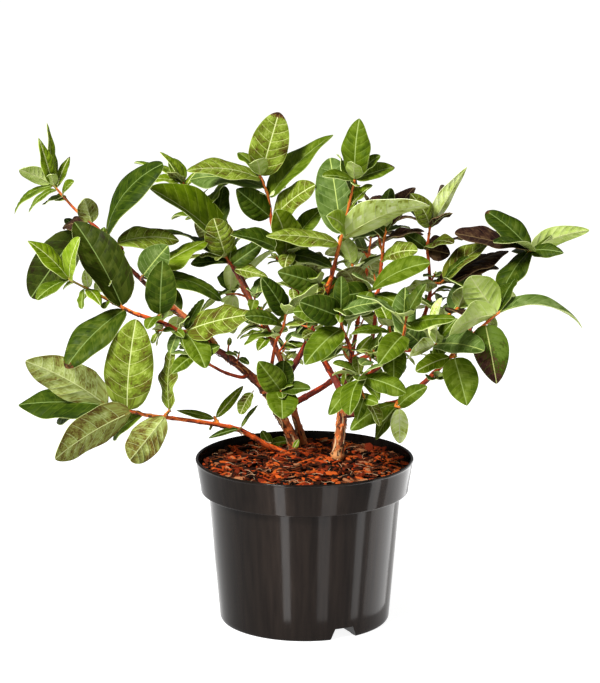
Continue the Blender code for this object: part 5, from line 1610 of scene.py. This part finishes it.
def chip(build, centre, length, width, thickness, rng):
    """An irregular flake of bark, splintered at its ends, lying a little askew."""
    corners = CHIP_CORNERS
    outline = []
    for k in range(corners):
        a = 2 * math.pi * (k + rng.uniform(-0.3, 0.3)) / corners
        x, y = math.cos(a), math.sin(a)
        outline.append((length / 2 * math.copysign(abs(x) ** 0.6, x) * rng.uniform(0.75, 1.1),
                        width / 2 * math.copysign(abs(y) ** 0.6, y) * rng.uniform(0.75, 1.1)))
    tilt = Matrix.Rotation(rng.uniform(0, 2 * math.pi), 3, "Z")
    tilt = tilt @ Matrix.Rotation(rng.gauss(0, 0.3), 3, "X")
    tilt = tilt @ Matrix.Rotation(rng.gauss(0, 0.25), 3, "Y")
    points = []
    for level, scale in ((0.5, 0.86), (0.1, 1.0), (-0.5, 0.85)):
        for x, y in outline:
            lift = level * thickness + rng.uniform(-0.15, 0.15) * thickness
            points.append(centre + tilt @ Vector((x * scale, y * scale, lift)))
    points.append(centre + tilt @ Vector((rng.uniform(-1, 1) * length * 0.15, 0, thickness * 0.62)))
    faces = []
    for level in (0, corners):
        for k in range(corners):
            n = (k + 1) % corners
            faces.append((level + k, level + corners + k, level + corners + n, level + n))
    top = 3 * corners
    faces += [(top, k, (k + 1) % corners) for k in range(corners)]
    faces.append(tuple(range(2 * corners, 3 * corners))[::-1])
    tone = rng.choice(CHIP_TONES)
    build.add([tuple(p) for p in points], faces, [tone] * len(faces))


# Studio

def area_light(name, spot, target, width, height, power, lit=None):
    """A flat light; with a collection as lit, it shines on that collection alone."""
    light = bpy.data.lights.new(name, "AREA")
    light.shape = "RECTANGLE"
    light.size = width
    light.size_y = height
    light.energy = power
    obj = linked(name, light)
    obj.location = spot
    obj.rotation_euler = (Vector(target) - Vector(spot)).to_track_quat("-Z", "Y").to_euler()
    if lit:
        obj.light_linking.receiver_collection = lit


def make_studio():
    world = bpy.data.worlds.new("studio")
    world.use_nodes = True
    fill(world.node_tree.nodes["Background"], Color=WHITE, Strength=WORLD_STRENGTH)
    bpy.context.scene.world = world
    bpy.context.scene.view_settings.view_transform = "Standard"
    for name, spot, width, height, power in LIGHTS:
        area_light(name, spot, LIT_MIDDLE, width, height, power)
    height = POT_STRIP_HEIGHT
    pot_only = bpy.data.collections.new("pot_only")
    pot_only.objects.link(bpy.data.objects["pot_shell"])
    for index, (turn, width, power) in enumerate(POT_STRIPS):
        wall, sight = math.radians(turn), math.radians(2 * turn)
        radius = (BODY_TOP_RADIUS + BASE_RADIUS) / 2 * MM
        x = radius * math.sin(wall) + POT_STRIP_GAP * math.sin(sight)
        y = -radius * math.cos(wall) - POT_STRIP_GAP * math.cos(sight)
        area_light(f"pot_strip_{index}", (x, y, height / 2), (0.0, 0.0, height / 2), width, height,
                   power, pot_only)
    mesh = bpy.data.meshes.new("floor")
    half = FLOOR_SIZE / 2
    mesh.from_pydata([(-half, -half, 0), (half, -half, 0), (half, half, 0), (-half, half, 0)], [],
                     [(0, 1, 2, 3)])
    material = finished_material("floor_white", FLOOR_TONE, "floor")
    fill(material.node_tree.nodes["Principled BSDF"], Emission_Color=WHITE, Emission_Strength=FLOOR_GLOW)
    mesh.materials.append(material)
    floor = linked("floor", mesh)
    floor.location.z = -FLOOR_BELOW


def make_camera():
    camera = bpy.data.cameras.new("camera")
    camera.lens = CAMERA_LENS
    camera.sensor_width = CAMERA_SENSOR
    camera.clip_end = 200.0
    obj = linked("camera", camera)
    obj.location = CAMERA_SPOT
    obj.rotation_euler = (math.radians(90) - CAMERA_DOWN, 0.0, 0.0)
    bpy.context.scene.camera = obj


def main():
    add_ramp_tones()
    make_camera()
    limbs = limb_plan()
    crown = Crown(limbs)
    plan = shoot_plan(limbs, crown)
    small_twigs, small_leaves = small_growth(crown, limbs, plan)
    dress_limbs(limbs)
    for index, (name, (twigs, leaves)) in enumerate(plan.items()):
        dress_shoot(index, name, twigs, leaves, limbs)
    dress_small_growth(small_twigs, small_leaves)
    dress_pot()
    make_studio()
    dress_mulch()
    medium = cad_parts["growing_medium"]
    medium.material_slots[0].link = "OBJECT"
    medium.material_slots[0].material = tone_material("soil_dark")


main()
